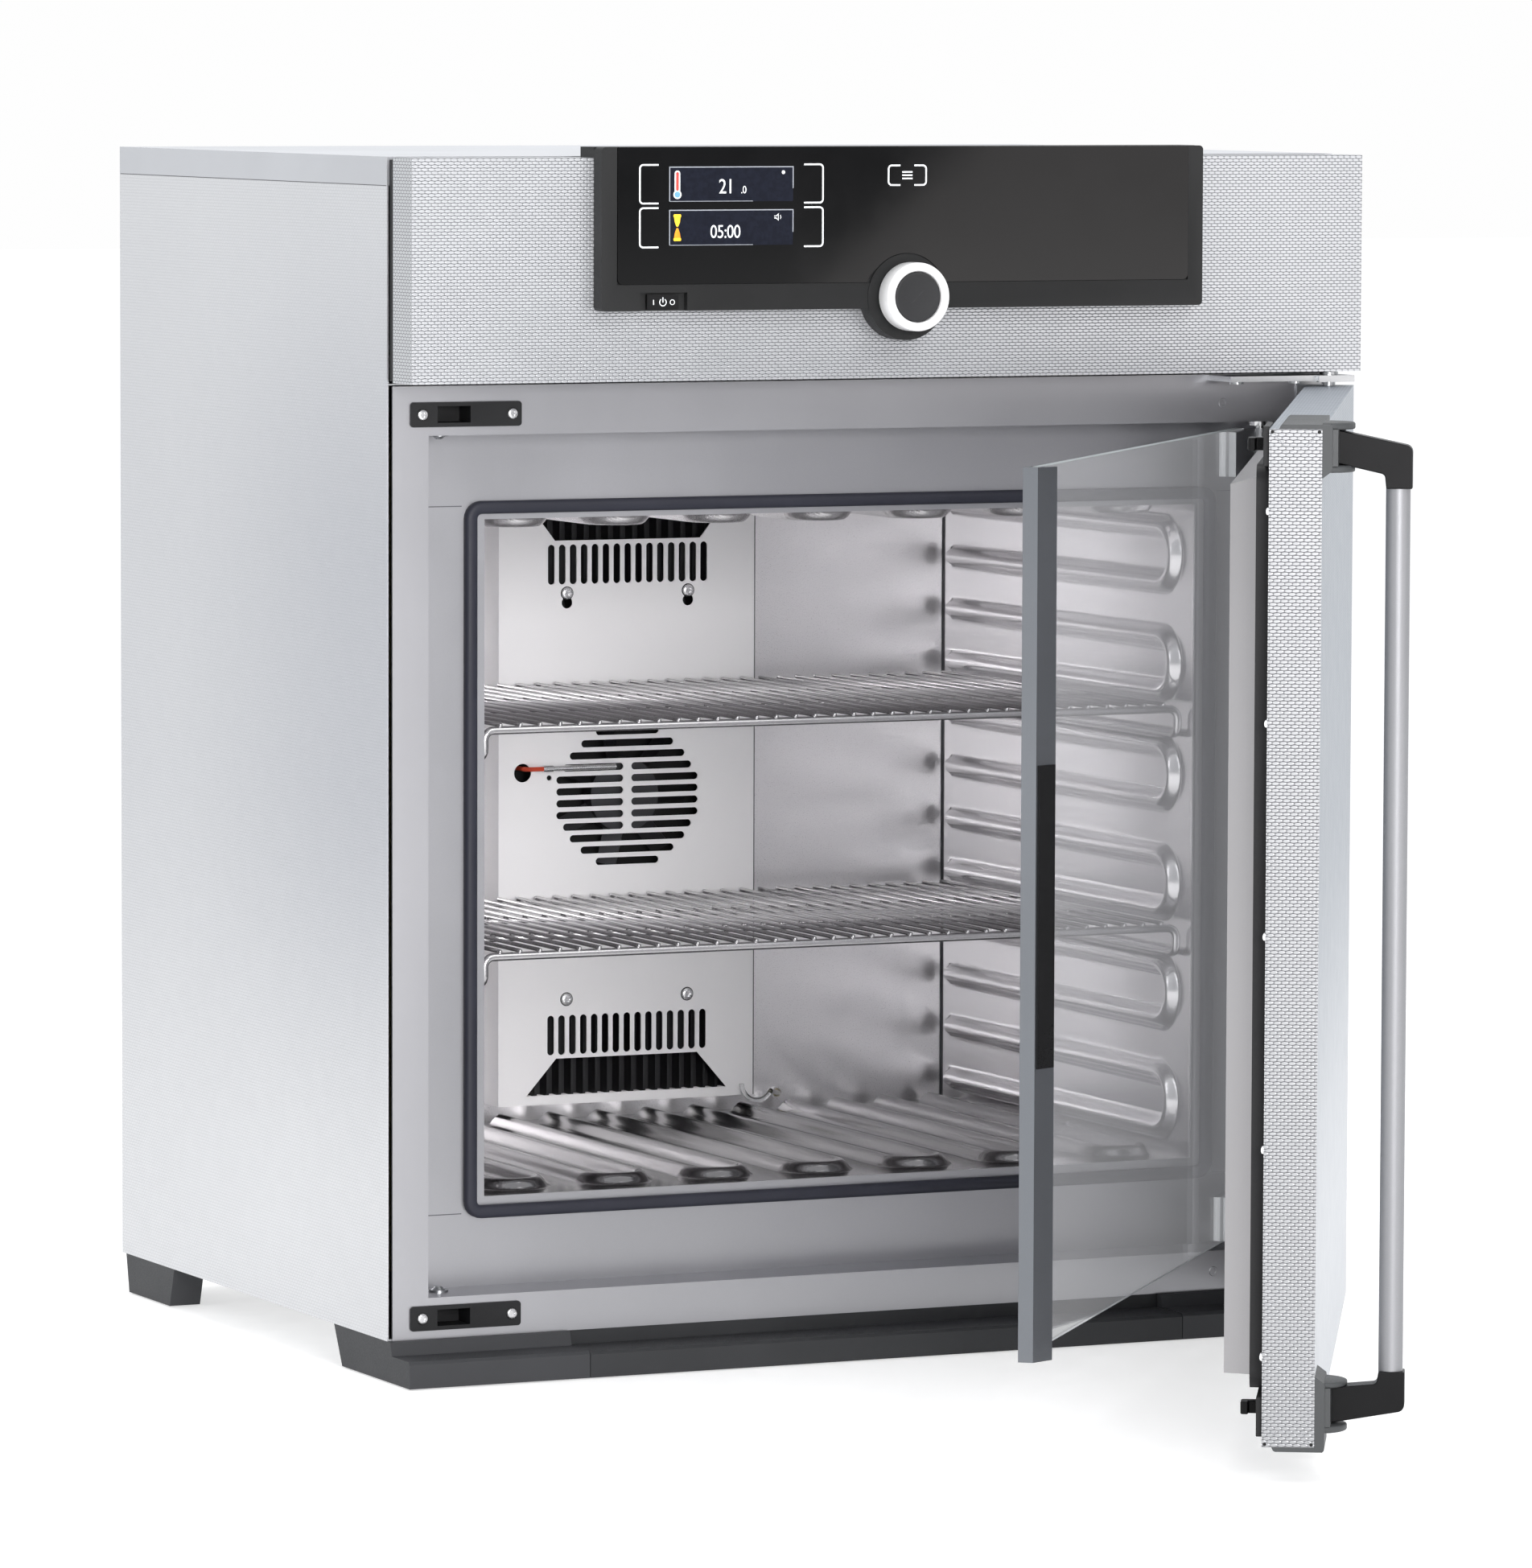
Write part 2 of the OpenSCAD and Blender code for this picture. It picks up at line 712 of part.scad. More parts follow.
module door_inner_panel() {
    y_base = od_y1 - sheet_t;
    color("#c2c5c9") at_outer_door() difference() {
        union() {
            block([od_x0 + sheet_t + 0.1, y_base, od_z0 + sheet_t + 0.1],
                  [od_x1 - sheet_t - 0.1, od_y1, od_z1 - sheet_t - 0.1]);
            intersection() {
                pan(0);
                block([-340, y_base, 0], [340, 40, 660]);
            }
        }
        pan(sheet_t);
        latch_room(y_base - eps, od_y1 + eps);
    }
}

module door_insulation() {
    y_base = od_y1 - sheet_t;
    color("#d8cfa8") at_outer_door() union() {
        block([od_x0 + 3, od_y0 + sheet_t + 0.2, 36], [od_x1 - 3, y_base - 0.2, 627]);
    }
}

module door_gasket() {
    color("#26282d") at_outer_door() xz_plate(od_y1, -0.6) difference() {
        round_rect([-350, 30], [350, 636], 12);
        round_rect([-326, 34], [326, 631], 6);
    }
}

// the lower corner fitting with the housing that the handle arm swivels in, over the door edge at edge_z
module corner_fitting(edge_z) {
    x0 = od_x0 - 0.3;
    x1 = hd_px + 28;
    difference() {
        union() {
            yz_plate(x0, x1) polygon([[od_y0, edge_z - 3], [od_y0 - 6.5, edge_z - 1], [od_y0 - 6.5, 28],
                                      [od_y0, 34.5]]);
            yz_plate(x0, x0 + 150) polygon([[od_y0, edge_z - 3], [-17, edge_z - 3], [-15.5, edge_z],
                                            [od_y0, edge_z]]);
            intersection() {
                rod_z(boss_z - boss_h / 2, boss_z + boss_h / 2, hd_px, hd_py, boss_r);
                block([hd_px - 30, hd_py - 30, -10], [hd_px + 30, od_y0, 50]);
            }
        }
        rod_z(boss_z - 12.5, boss_z + 12.5, hd_px, hd_py, 14);
        block([hd_px - 10.5, hd_py - 30, boss_z - 12.5], [hd_px + 16, hd_py, boss_z + 12.5]);
        block([hd_px - 30, hd_py - 30, boss_z - 12.5], [hd_px, -54.5, boss_z + 12.5]);
        block([hd_px - 9, hd_py - 1, hook_z - 8], [hd_px + 27, hd_py + 5, hook_z + 8]);
    }
    rod_z(boss_z - 12.5, boss_z + 12.5, hd_px, hd_py, 3);
}

module handle_corner_lower() {
    color("#55585a") at_outer_door() corner_fitting(od_z0);
}

module handle_corner_upper() {
    color("#55585a") at_outer_door() upper_twin() corner_fitting(2 * hd_mid_z - od_z1);
}

// ---------------------------------------------------------------- handle

// the lower arm: hub on the pin, arm out to the tube and the latch lever with its hook
module handle_arm() {
    difference() {
        union() {
            rod_z(boss_z - 12.2, boss_z + 12.2, hd_px, hd_py, 11);
            intersection() {
                yz_plate(hd_px - 9, hd_px + 9) polygon([
                    [hd_py, boss_z - 12.2], [hd_py, boss_z + 12.2], [hd_py - 22, boss_z + 12.2],
                    [tube_y + 6, 35], [tube_y + 6, 44], [tube_y - 9, 44], [tube_y - 9, 26],
                    [tube_y - 4, 21], [hd_py - 12, boss_z - 12.2]]);
                union() {
                    rod_z(0, 60, hd_px, tube_y, 9);
                    block([hd_px - 9, tube_y, 0], [hd_px + 9, hd_py + eps, 60]);
                }
            }
            rod_z(34, 46, hd_px, tube_y, 9);
        }
        rod_z(boss_z - 20, boss_z + 20, hd_px, hd_py, 3 + run_fit);
        rod_z(38, 60, hd_px, tube_y, tube_r);
    }
    xy_plate(hook_z - hook_h / 2, hook_z + hook_h / 2) polygon([
        [hd_px + 2, hd_py + 10], [hd_px + 10, hd_py + 4], [-316, -16], [-316, 6], [-329.5, 6], [-329.5, 0.9],
        [-324, 0.9], [-324, -12]]);
}

module handle_arm_lower() {
    color("#17181a") at_outer_door() handle_arm();
}

module handle_arm_upper() {
    color("#17181a") at_outer_door() upper_twin() handle_arm();
}

module handle_tube() {
    color("#d4d7da") at_outer_door() difference() {
        rod_z(38, 2 * hd_mid_z - 38, hd_px, tube_y, tube_r);
        rod_z(37, 2 * hd_mid_z - 37, hd_px, tube_y, tube_r - 1.5);
    }
}

// ---------------------------------------------------------------- glass door

module glass_pane() {
    color("#dfeef0", 0.35) at_glass_door()
        block([pane_x0, pane_y, 39.6], [pane_x1, pane_y + pane_t, 629]);
}

module glass_edge_profile() {
    color("#a5a9ae") at_glass_door() xy_plate(33.5, 629.5) polygon([
        [-339, 39.6], [-339, 29.4], [-321, 20.6], [-320.2, 22.4], [-334.4, 29.4], [-320, 29.4],
        [-320, 31.3], [-333.2, 31.3], [-333.2, 37.7], [-320, 37.7], [-320, 39.6]]);
}

module grip_insert() {
    color("#232426") at_glass_door() xy_plate(230, 432)
        polygon([[-337.6, 28.6], [-322.4, 21.2], [-322.95, 20.1], [-338.15, 27.5]]);
}

module glass_hinge_clamps() {
    color("#b4b7bb") at_glass_door() for (z = [[596, 628], [40, 72]]) xy_plate(z[0], z[1]) difference() {
        union() {
            translate([gd_px, gd_py]) circle(r = 8);
            rect([250, 26], [gd_px - 2, 31.3]);
            rect([300.3, 26], [305, 42.5]);
            rect([250, 37.7], [305, 42.5]);
        }
        translate([gd_px, gd_py]) circle(r = gd_pin_r + run_fit);
    }
}

left_side_panel();
right_side_panel();
top_cover();
rear_panel();
rear_hood();
base_plate();
front_frame();
recess_panel();
latch_strike_upper();
latch_strike_lower();
panel_screws();
glass_door_catches();
chamber_left_wall();
chamber_right_wall();
chamber_floor();
chamber_ceiling();
chamber_rear_wall();
chamber_gasket();
insulation_jacket();
heating_panels();
rear_cover_plate();
inner_heat_sinks();
peltier_modules();
outer_heat_sink();
fan_motor();
fan_impeller();
temperature_probe();
probe_cable();
drain_line();
electronics_deck();
mains_inlet();
control_fascia();
fascia_seal();
panel_bezel();
display_glass();
control_electronics();
knob_ring();
confirm_button();
main_switch();
front_feet();
rear_feet();
plinth_strip();
door_hinge_upper();
door_hinge_lower();
glass_hinge_pins();
shelf_upper();
shelf_lower();
door_outer_skin();
door_inner_panel();
door_insulation();
door_gasket();
handle_corner_upper();
handle_corner_lower();
handle_arm_upper();
handle_arm_lower();
handle_tube();
glass_pane();
glass_edge_profile();
grip_insert();
glass_hinge_clamps();
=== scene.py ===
import math

import bmesh
import bpy
from mathutils import Matrix, Vector


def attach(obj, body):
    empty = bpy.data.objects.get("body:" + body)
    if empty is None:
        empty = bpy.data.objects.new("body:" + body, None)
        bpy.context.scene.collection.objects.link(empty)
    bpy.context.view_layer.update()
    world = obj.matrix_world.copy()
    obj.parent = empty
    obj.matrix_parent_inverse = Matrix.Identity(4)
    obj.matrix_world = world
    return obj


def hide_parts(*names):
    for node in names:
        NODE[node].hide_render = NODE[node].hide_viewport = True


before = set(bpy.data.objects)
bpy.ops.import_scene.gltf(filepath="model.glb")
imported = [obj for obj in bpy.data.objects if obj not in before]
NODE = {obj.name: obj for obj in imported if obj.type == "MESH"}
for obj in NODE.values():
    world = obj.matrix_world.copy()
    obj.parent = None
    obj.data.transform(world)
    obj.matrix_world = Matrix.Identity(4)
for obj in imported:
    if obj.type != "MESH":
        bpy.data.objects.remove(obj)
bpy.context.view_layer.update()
scene = bpy.context.scene

# ---------------------------------------------------------------- sizes in mm, in the cabinet's own frame

FOOT = 28.5  # the body stands this far above the floor
CAB_HALF = 372.5
CAB_SHOULDER = 808  # the top cover's lip starts here
CAB_REAR = 514
HOOD_REAR = 540
CH_HALF = 280
CH_FRONT = 46
CH_REAR = 450
CH_FLOOR = 92.5
CH_TOP = 572.5
FIRST_RUN = 18.5  # from the chamber's floor to the first straight run of a rib
RIB_PITCH = 40.25
RIB_HALF = RIB_PITCH / 2
RIB_RISE = 8.0
RIB_SPREAD = 8.6  # from a rib's crest to the flat sheet
DUCT_Y = 420
DUCT_HALF = 106
PLATE_SHADE_HALF = 104.5  # the painted shade behind the duct plate: half width, middle height and half height over the floor
PLATE_SHADE_MID_Z = 379.5
PLATE_SHADE_HALF_Z = 210.5
LATCH_LOW, LATCH_HIGH = 14.75, 648.75
LATCH_TWIN = 663.5  # the height of a lower fitting and that of its upper twin add up to this
OUTER_PIN, OUTER_OPEN = (356, -26), 59.7  # hinge axis, and degrees open at rest
GLASS_PIN, GLASS_OPEN = (328, 25), 49.5
DOOR_EDGE = -371
DOOR_BACK = -9.6
ARM_X = -345
GLASS_FACE = -58.0  # front of the control panel's glass
MARK_FACE = -58.12
ICON_FACE = -58.2
SWITCH_FACE = -56.0

# ---------------------------------------------------------------- camera and light, in metres

cam_data = bpy.data.cameras.new("camera")
cam_data.lens = 210.98
cam_data.sensor_width = 36
cam_data.clip_end = 200
camera = bpy.data.objects.new("camera", cam_data)
scene.collection.objects.link(camera)
scene.camera = camera
cam_at = Vector((-2.84245, -5.89019, 0.95022))
cam_aim = Vector((0.0360, 0.250, 0.3881))
forward = (cam_aim - cam_at).normalized()
right = forward.cross(Vector((0, 0, 1))).normalized()
up = right.cross(forward)
roll = math.radians(0.19)
cx = math.cos(roll) * right + math.sin(roll) * up
cy = -math.sin(roll) * right + math.cos(roll) * up
camera.matrix_world = Matrix((
    (cx.x, cy.x, -forward.x, cam_at.x),
    (cx.y, cy.y, -forward.y, cam_at.y),
    (cx.z, cy.z, -forward.z, cam_at.z),
    (0, 0, 0, 1)))

scene.view_settings.view_transform = "Standard"
scene.view_settings.look = "None"
scene.view_settings.exposure = 0.0


def area(name, at, aim, size, watts, colour=(1, 1, 1)):
    """A rectangular light that faces aim and is not seen by the camera."""
    data = bpy.data.lights.new(name, "AREA")
    data.shape = "RECTANGLE"
    data.size, data.size_y = size
    data.energy = watts
    data.color = colour
    o = bpy.data.objects.new(name, data)
    scene.collection.objects.link(o)
    o.location = at
    o.rotation_euler = (Vector(aim) - Vector(at)).to_track_quat("-Z", "Y").to_euler()
    o.visible_camera = False
    return o


area("key_softbox", (-1.0, -4.5, 1.15), (-0.05, 0.2, 0.42), (1.5, 1.3), 128, (1, 0.985, 0.99))
area("high_softbox", (0.6, -3.4, 3.4), (0, 0.1, 0.4), (2.4, 2.0), 42, (1, 0.99, 0.98))
area("left_softbox", (-4.0, -0.4, 2.2), (-0.4, 0.3, 0.5), (1.8, 2.4), 22, (0.98, 0.99, 1))
area("top_softbox", (0.2, 0.6, 3.6), (0, 0.25, 0.6), (2.6, 2.0), 50)
# its narrow reflection crosses the panel's glass, so it is turned about its own axis to cross it at a slant
slant = area("right_softbox", (1.755, -3.0, 0.38), (1.755, 0, 0.38), (2.4, 1.0), 13, (1, 0.95, 0.93))
slant.rotation_euler = (slant.rotation_euler.to_matrix() @ Matrix.Rotation(math.radians(42), 3, "Z")).to_euler()

# The surroundings are bright behind the object and darker in front of it; the camera sees a plain backdrop.
BEHIND = (0.97, 0.985, 1.0, 1)
IN_FRONT = (0.42, 0.43, 0.45, 1)
BACKDROP = (0.99, 0.99, 0.99, 1)
COLOUR_A, COLOUR_B = 6, 7  # a Mix node's colour sockets
world = bpy.data.worlds.new("studio")
scene.world = world
world.use_nodes = True
wt = world.node_tree
wt.nodes.clear()
w_out, w_bg, w_co, w_xyz, w_range, w_mix, w_path, w_seen = (wt.nodes.new("ShaderNode" + kind) for kind in (
    "OutputWorld", "Background", "TexCoord", "SeparateXYZ", "MapRange", "Mix", "LightPath", "Mix"))
w_range.interpolation_type = "SMOOTHSTEP"
for socket, value in (("From Min", 0.25), ("From Max", -0.85), ("To Min", 0.0), ("To Max", 1.0)):
    w_range.inputs[socket].default_value = value
w_mix.data_type = w_seen.data_type = "RGBA"
w_mix.inputs[COLOUR_A].default_value = BEHIND
w_mix.inputs[COLOUR_B].default_value = IN_FRONT
w_seen.inputs[COLOUR_B].default_value = BACKDROP
w_bg.inputs["Strength"].default_value = 1.0
for source, target in (
        (w_co.outputs["Generated"], w_xyz.inputs[0]), (w_xyz.outputs["Y"], w_range.inputs["Value"]),
        (w_range.outputs[0], w_mix.inputs[0]), (w_path.outputs["Is Camera Ray"], w_seen.inputs[0]),
        (w_mix.outputs[2], w_seen.inputs[COLOUR_A]), (w_seen.outputs[2], w_bg.inputs["Color"]),
        (w_bg.outputs[0], w_out.inputs[0])):
    wt.links.new(source, target)

# ---------------------------------------------------------------- materials


class Mat:
    """A node material: n() adds a node and returns its output, p() sets the shader's own sockets."""

    def __init__(self, name):
        self.m = bpy.data.materials.new(name)
        self.m.use_nodes = True
        self.t = self.m.node_tree
        self.t.nodes.clear()
        out = self.t.nodes.new("ShaderNodeOutputMaterial")
        self.b = self.t.nodes.new("ShaderNodeBsdfPrincipled")
        self.t.links.new(self.b.outputs[0], out.inputs[0])
        self.co = self.n("TexCoord", out="Object")

    def n(self, kind, ins=None, out=0, **props):
        node = self.t.nodes.new("ShaderNode" + kind)
        for k, v in props.items():
            setattr(node, k, v)
        for k, v in (ins or {}).items():
            if isinstance(v, bpy.types.NodeSocket):
                self.t.links.new(v, node.inputs[k])
            else:
                node.inputs[k].default_value = v
        return node.outputs[out]

    def p(self, **ins):
        for k, v in ins.items():
            k = k.replace("_", " ")
            if isinstance(v, bpy.types.NodeSocket):
                self.t.links.new(v, self.b.inputs[k])
            else:
                self.b.inputs[k].default_value = v

    def math(self, op, a, b=0.0):
        return self.n("Math", {0: a, 1: b}, operation=op)

    def mix(self, fac, a, b):
        a = (*a, 1) if isinstance(a, tuple) and len(a) == 3 else a
        b = (*b, 1) if isinstance(b, tuple) and len(b) == 3 else b
        return self.n("Mix", {0: fac, COLOUR_A: a, COLOUR_B: b}, out=2, data_type="RGBA")

    def noise(self, scale, detail, rough):
        return self.n("TexNoise", {"Vector": self.co, "Scale": scale, "Detail": detail, "Roughness": rough})

    def range(self, val, f0, f1, t0, t1):
        return self.n("MapRange", {"Value": val, "From Min": f0, "From Max": f1, "To Min": t0, "To Max": t1},
                      interpolation_type="SMOOTHSTEP")

    def bump(self, height, dist, strength):
        return self.n("Bump", {"Height": height, "Distance": dist, "Strength": strength})

    def turn(self, vec, degrees, scale=1):
        """The vector turned about Z and scaled."""
        return self.n("Mapping", {"Vector": vec, "Rotation": (0, 0, math.radians(degrees)),
                                  "Scale": (scale, scale, scale)})

    def split(self, vec):
        """The X, Y and Z of a vector."""
        node = self.t.nodes.new("ShaderNodeSeparateXYZ")
        self.t.links.new(vec, node.inputs[0])
        return [node.outputs[k] for k in "XYZ"]


def shade(c, k):
    return tuple(x * k for x in c)


def satin(name, colour, rough, metal, spread=0.05, grain=0.4):
    """Metal with soft cloudy variation and a fine grain."""
    a = Mat(name)
    cloud = a.noise(3.5, 4, 0.55)
    fine = a.noise(1600, 2, 0.6)
    col = a.mix(a.range(cloud, 0.3, 0.7, 0, 1), shade(colour, 1 - spread), shade(colour, 1 + spread))
    a.p(Base_Color=a.mix(a.range(fine, 0.3, 0.7, 0.0, 0.05), col, shade(colour, 0.6)), Metallic=metal,
        Roughness=a.math("ADD", a.range(cloud, 0.3, 0.7, rough - 0.03, rough + 0.03),
                         a.range(fine, 0.3, 0.7, -0.03, 0.03)),
        Normal=a.bump(fine, 0.000006 * grain, 0.3))
    return a.m


def dimpled(name, colour, gap, turn=0.0, depth=0.0003, plain_shading=None, shadow=None):
    """Stainless sheet rolled with staggered rows of small oval bumps; turn lines it up with a turned panel.

    gap is the colour between the bumps, darker than them as painted shade in the hollows. The plain shading
    colours, low and high, paint the faces left nearly smooth lighter low and darker high as painted shading;
    shadow darkens the sheet towards its front edge at mid height.
    """
    pitch, row = 4.9, 2.2
    rough, metal = 0.36, 0.6
    a = Mat(name)
    x, y, z = a.split(a.turn(a.co, turn, 1000))
    _, face_y, face_z = a.split(a.turn(a.n("TexCoord", out="Normal"), turn))
    flat = a.math("GREATER_THAN", a.math("ABSOLUTE", face_z), 0.7)
    u = a.math("ADD", x, a.math("MULTIPLY", y, a.math("SUBTRACT", 1.0, flat)))
    v = a.math("DIVIDE", a.math("ADD", z, a.math("MULTIPLY", y, flat)), row)
    odd = a.math("MODULO", a.math("ABSOLUTE", a.math("FLOOR", v)), 2.0)
    u = a.math("ADD", a.math("DIVIDE", u, pitch), a.math("MULTIPLY", odd, 0.5))
    fu = a.math("MULTIPLY", a.math("SUBTRACT", a.math("FRACT", u), 0.5), 2.0)
    fv = a.math("MULTIPLY", a.math("SUBTRACT", a.math("FRACT", v), 0.5), 2.0)
    r2 = a.math("ADD", a.math("MULTIPLY", fu, fu), a.math("MULTIPLY", fv, fv))
    dots = a.range(r2, 1.45, 0.45, 0, 1)  # 1 on a bump, 0 in the gap
    cloud = a.noise(2.2, 3, 0.5)
    wear = a.noise(60, 3, 0.6)
    top = a.mix(a.range(cloud, 0.3, 0.7, 0, 1), shade(colour, 0.97), shade(colour, 1.03))
    # the gaps between the bumps take the darker gap colour: painted shade in the hollows
    col = a.mix(dots, gap, top)
    height = dots
    if plain_shading:
        smooth = a.math("MAXIMUM", flat, a.math("GREATER_THAN", a.math("ABSOLUTE", face_y), 0.7))
        height = a.math("MULTIPLY", dots, a.math("SUBTRACT", 1.0, a.math("MULTIPLY", smooth, 0.85)))
        # painted shading: the smooth faces lighter low and darker high
        painted_height_shade = a.mix(a.range(z, 120, 420, 0, 1), plain_shading[0], plain_shading[1])
        col = a.mix(smooth, col, a.mix(a.math("MULTIPLY", dots, 0.2), painted_height_shade, shade(plain_shading[0], 1.1)))
    if shadow:
        near = a.range(y, 430, 0, 0, 1)
        mid = a.math("MULTIPLY", a.range(z, 120, 420, 0, 1), a.range(z, 860, 560, 0.25, 1))
        col = a.mix(a.math("MULTIPLY", a.math("ADD", a.math("MULTIPLY", near, 0.65), 0.35), mid), col, shadow)
    a.p(Base_Color=col, Metallic=metal,
        Roughness=a.math("ADD", a.range(dots, 0, 1, rough + 0.08, rough), a.range(wear, 0.3, 0.7, -0.03, 0.03)),
        Normal=a.bump(height, depth, 0.7))
    return a.m


def moulded(name, colour, rough, grain=0.5, shine=0.28):
    """Moulded plastic or rubber: fine spark-eroded grain, soft colour variation and edges polished by use."""
    a = Mat(name)
    cloud = a.noise(9, 4, 0.6)
    fine = a.noise(900, 2, 0.6)
    worn = a.range(a.n("NewGeometry", out="Pointiness"), 0.5, 0.62, 0, 0.25)
    col = a.mix(a.range(cloud, 0.3, 0.7, 0, 1), shade(colour, 0.88), shade(colour, 1.12))
    light = tuple(min(1, x * 1.6 + 0.02) for x in colour)
    a.p(Base_Color=a.mix(worn, col, light),
        Roughness=a.math("ADD", a.range(cloud, 0.3, 0.7, rough - 0.05, rough + 0.05),
                         a.range(fine, 0.3, 0.7, -0.05, 0.05)),
        Normal=a.bump(fine, 0.00002 * grain, 0.5), Specular_IOR_Level=shine)
    return a.m


def behind_plate(name, colour):
    """The chamber's steel, painted near-black behind the duct plate for the shade that falls there."""
    a = Mat(name)
    x, _, z = a.split(a.co)
    dx = a.math("LESS_THAN", a.math("ABSOLUTE", x), PLATE_SHADE_HALF / 1000)
    dz = a.math("LESS_THAN", a.math("ABSOLUTE", a.math("SUBTRACT", z, PLATE_SHADE_MID_Z / 1000)), PLATE_SHADE_HALF_Z / 1000)
    # painted shade: the rear wall is made near-black where the duct plate shades it
    mat = a.math("MULTIPLY", dx, dz)
    cloud = a.noise(3.5, 4, 0.55)
    fine = a.noise(1600, 2, 0.6)
    sheet = a.mix(a.range(cloud, 0.3, 0.7, 0, 1), shade(colour, 0.98), shade(colour, 1.02))
    a.p(Base_Color=a.mix(mat, sheet, (0.006, 0.006, 0.0065)), Metallic=a.range(mat, 0, 1, 0.75, 0.0),
        Roughness=a.math("ADD", a.range(mat, 0, 1, 0.3, 0.7), a.range(fine, 0.3, 0.7, -0.03, 0.03)),
        Normal=a.bump(fine, 0.0000024, 0.3))
    return a.m


def cloudy(name, colour, rough, scale, spread, bump=0.0004):
    """A dull or fibrous surface with blotches of lighter and darker colour."""
    a = Mat(name)
    big = a.noise(scale, 5, 0.65)
    a.p(Base_Color=a.mix(a.range(big, 0.3, 0.7, 0, 1), shade(colour, 1 - spread), shade(colour, 1 + spread)),
        Roughness=a.range(big, 0.3, 0.7, rough - 0.08, rough + 0.08), Normal=a.bump(big, bump, 0.5))
    return a.m


def gloss_black(name):
    """Black glass with faint smears."""
    a = Mat(name)
    smear = a.noise(14, 4, 0.6)
    a.p(Base_Color=a.mix(a.range(smear, 0.3, 0.7, 0, 1), (0.002, 0.002, 0.0022), (0.003, 0.003, 0.0033)),
        Roughness=a.range(smear, 0.3, 0.7, 0.05, 0.08), Specular_IOR_Level=0.26)
    return a.m


def clear_glass(name, tint, rough=0.0, clear=1.0, ior=1.5, reflection_glow=0.0):
    """Clear glass or plastic; what clear leaves is diffuse, and the glow is a very weak painted reflection."""
    a = Mat(name)
    wave = a.noise(5, 2, 0.5)
    a.p(Base_Color=a.mix(a.range(wave, 0.3, 0.7, 0, 1), tint, shade(tint, 0.985)), Transmission_Weight=clear,
        IOR=ior, Roughness=a.range(wave, 0.3, 0.7, rough, rough + 0.002),
        Emission_Color=(0.95, 0.96, 1, 1), Emission_Strength=reflection_glow)
    return a.m


def glowing(name, colour, strength, spread):
    """A lit mark on a display or a key."""
    a = Mat(name)
    grain = a.noise(300, 2, 0.5)
    c = a.mix(a.range(grain, 0.3, 0.7, 0, 1), shade(colour, 1 - spread), colour)
    a.p(Base_Color=c, Emission_Color=c, Emission_Strength=strength, Roughness=0.25, Specular_IOR_Level=0.1)
    return a.m


STEEL = dimpled("dimpled_casing", (0.53, 0.54, 0.56), (0.17, 0.175, 0.185))
STEEL_SIDE = dimpled("dimpled_side", (0.64, 0.645, 0.66), (0.56, 0.565, 0.58), depth=0.00012,
                     shadow=(0.45, 0.46, 0.49))
# the door's smooth faces get painted shading, lighter low and darker high
STEEL_DOOR = dimpled("dimpled_door", (0.36, 0.365, 0.375), (0.12, 0.122, 0.13), turn=-OUTER_OPEN,
                     plain_shading=((0.50, 0.52, 0.55), (0.24, 0.27, 0.31)))
COVER = satin("cover_steel", (0.58, 0.59, 0.615), 0.46, 1.0)
REAR = satin("galvanised_rear", (0.56, 0.57, 0.58), 0.42, 1.0, spread=0.12, grain=0.8)
FRAME = satin("frame_steel", (0.44, 0.44, 0.46), 0.34, 0.9, spread=0.03)
CHAMBER = satin("chamber_steel", (0.84, 0.825, 0.84), 0.21, 0.9, spread=0.02, grain=0.12)
# the floor's steel is the walls' steel painted much darker: painted shade for the dark surroundings it mirrors
SHADED_BASE_STEEL = satin("chamber_base_steel_shaded", (0.30, 0.293, 0.30), 0.18, 1.0, spread=0.03, grain=0.12)
PLATE = satin("duct_plate_steel", (1.0, 0.99, 1.0), 0.42, 0.2, spread=0.0)
DOORPAN = satin("door_pan_steel", (0.38, 0.372, 0.38), 0.35, 0.8, spread=0.03)
WIRE = satin("polished_wire", (0.58, 0.57, 0.58), 0.22, 0.95)
HINGE = satin("hinge_steel", (0.42, 0.43, 0.44), 0.3, 1.0)
SCREW = satin("screw_steel", (0.66, 0.66, 0.67), 0.26, 0.9, spread=0.03)
CHROME = satin("bright_chrome", (0.80, 0.80, 0.80), 0.10, 1.0, spread=0.02)
ALU = satin("anodised_aluminium", (0.275, 0.278, 0.29), 0.48, 0.6)
ALU_RING = satin("turned_aluminium", (1.0, 1.0, 1.0), 0.36, 0.1, spread=0.0)
ALU_EDGE = satin("profile_aluminium", (0.205, 0.217, 0.235), 0.38, 0.9)
DARKMETAL = satin("black_anodised", (0.02, 0.02, 0.022), 0.5, 0.3)
MOTOR = satin("motor_can", (0.07, 0.07, 0.075), 0.5, 1.0)
BLACK = moulded("black_plastic", (0.0045, 0.0045, 0.005), 0.34, shine=0.15)
SOFTBLACK = moulded("black_strike_plastic", (0.006, 0.0062, 0.007), 0.5)
GREY = moulded("corner_plastic", (0.045, 0.048, 0.050), 0.5, shine=0.4)
BEZEL = moulded("bezel_plastic", (0.016, 0.0163, 0.0166), 0.5, shine=0.2)
FEET = moulded("feet_plastic", (0.030, 0.031, 0.034), 0.55)
PLINTH = moulded("plinth_plastic", (0.022, 0.023, 0.025), 0.5)
BUTTON = moulded("button_plastic", (0.028, 0.0285, 0.030), 0.55)
HOLE = moulded("dark_hole", (0.004, 0.004, 0.004), 0.7)
RUBBER = moulded("dark_rubber", (0.024, 0.025, 0.036), 0.5, grain=1.0)
SEAL = moulded("fascia_rubber", (0.012, 0.012, 0.013), 0.6, grain=1.0)
SCREEN = gloss_black("panel_glass")
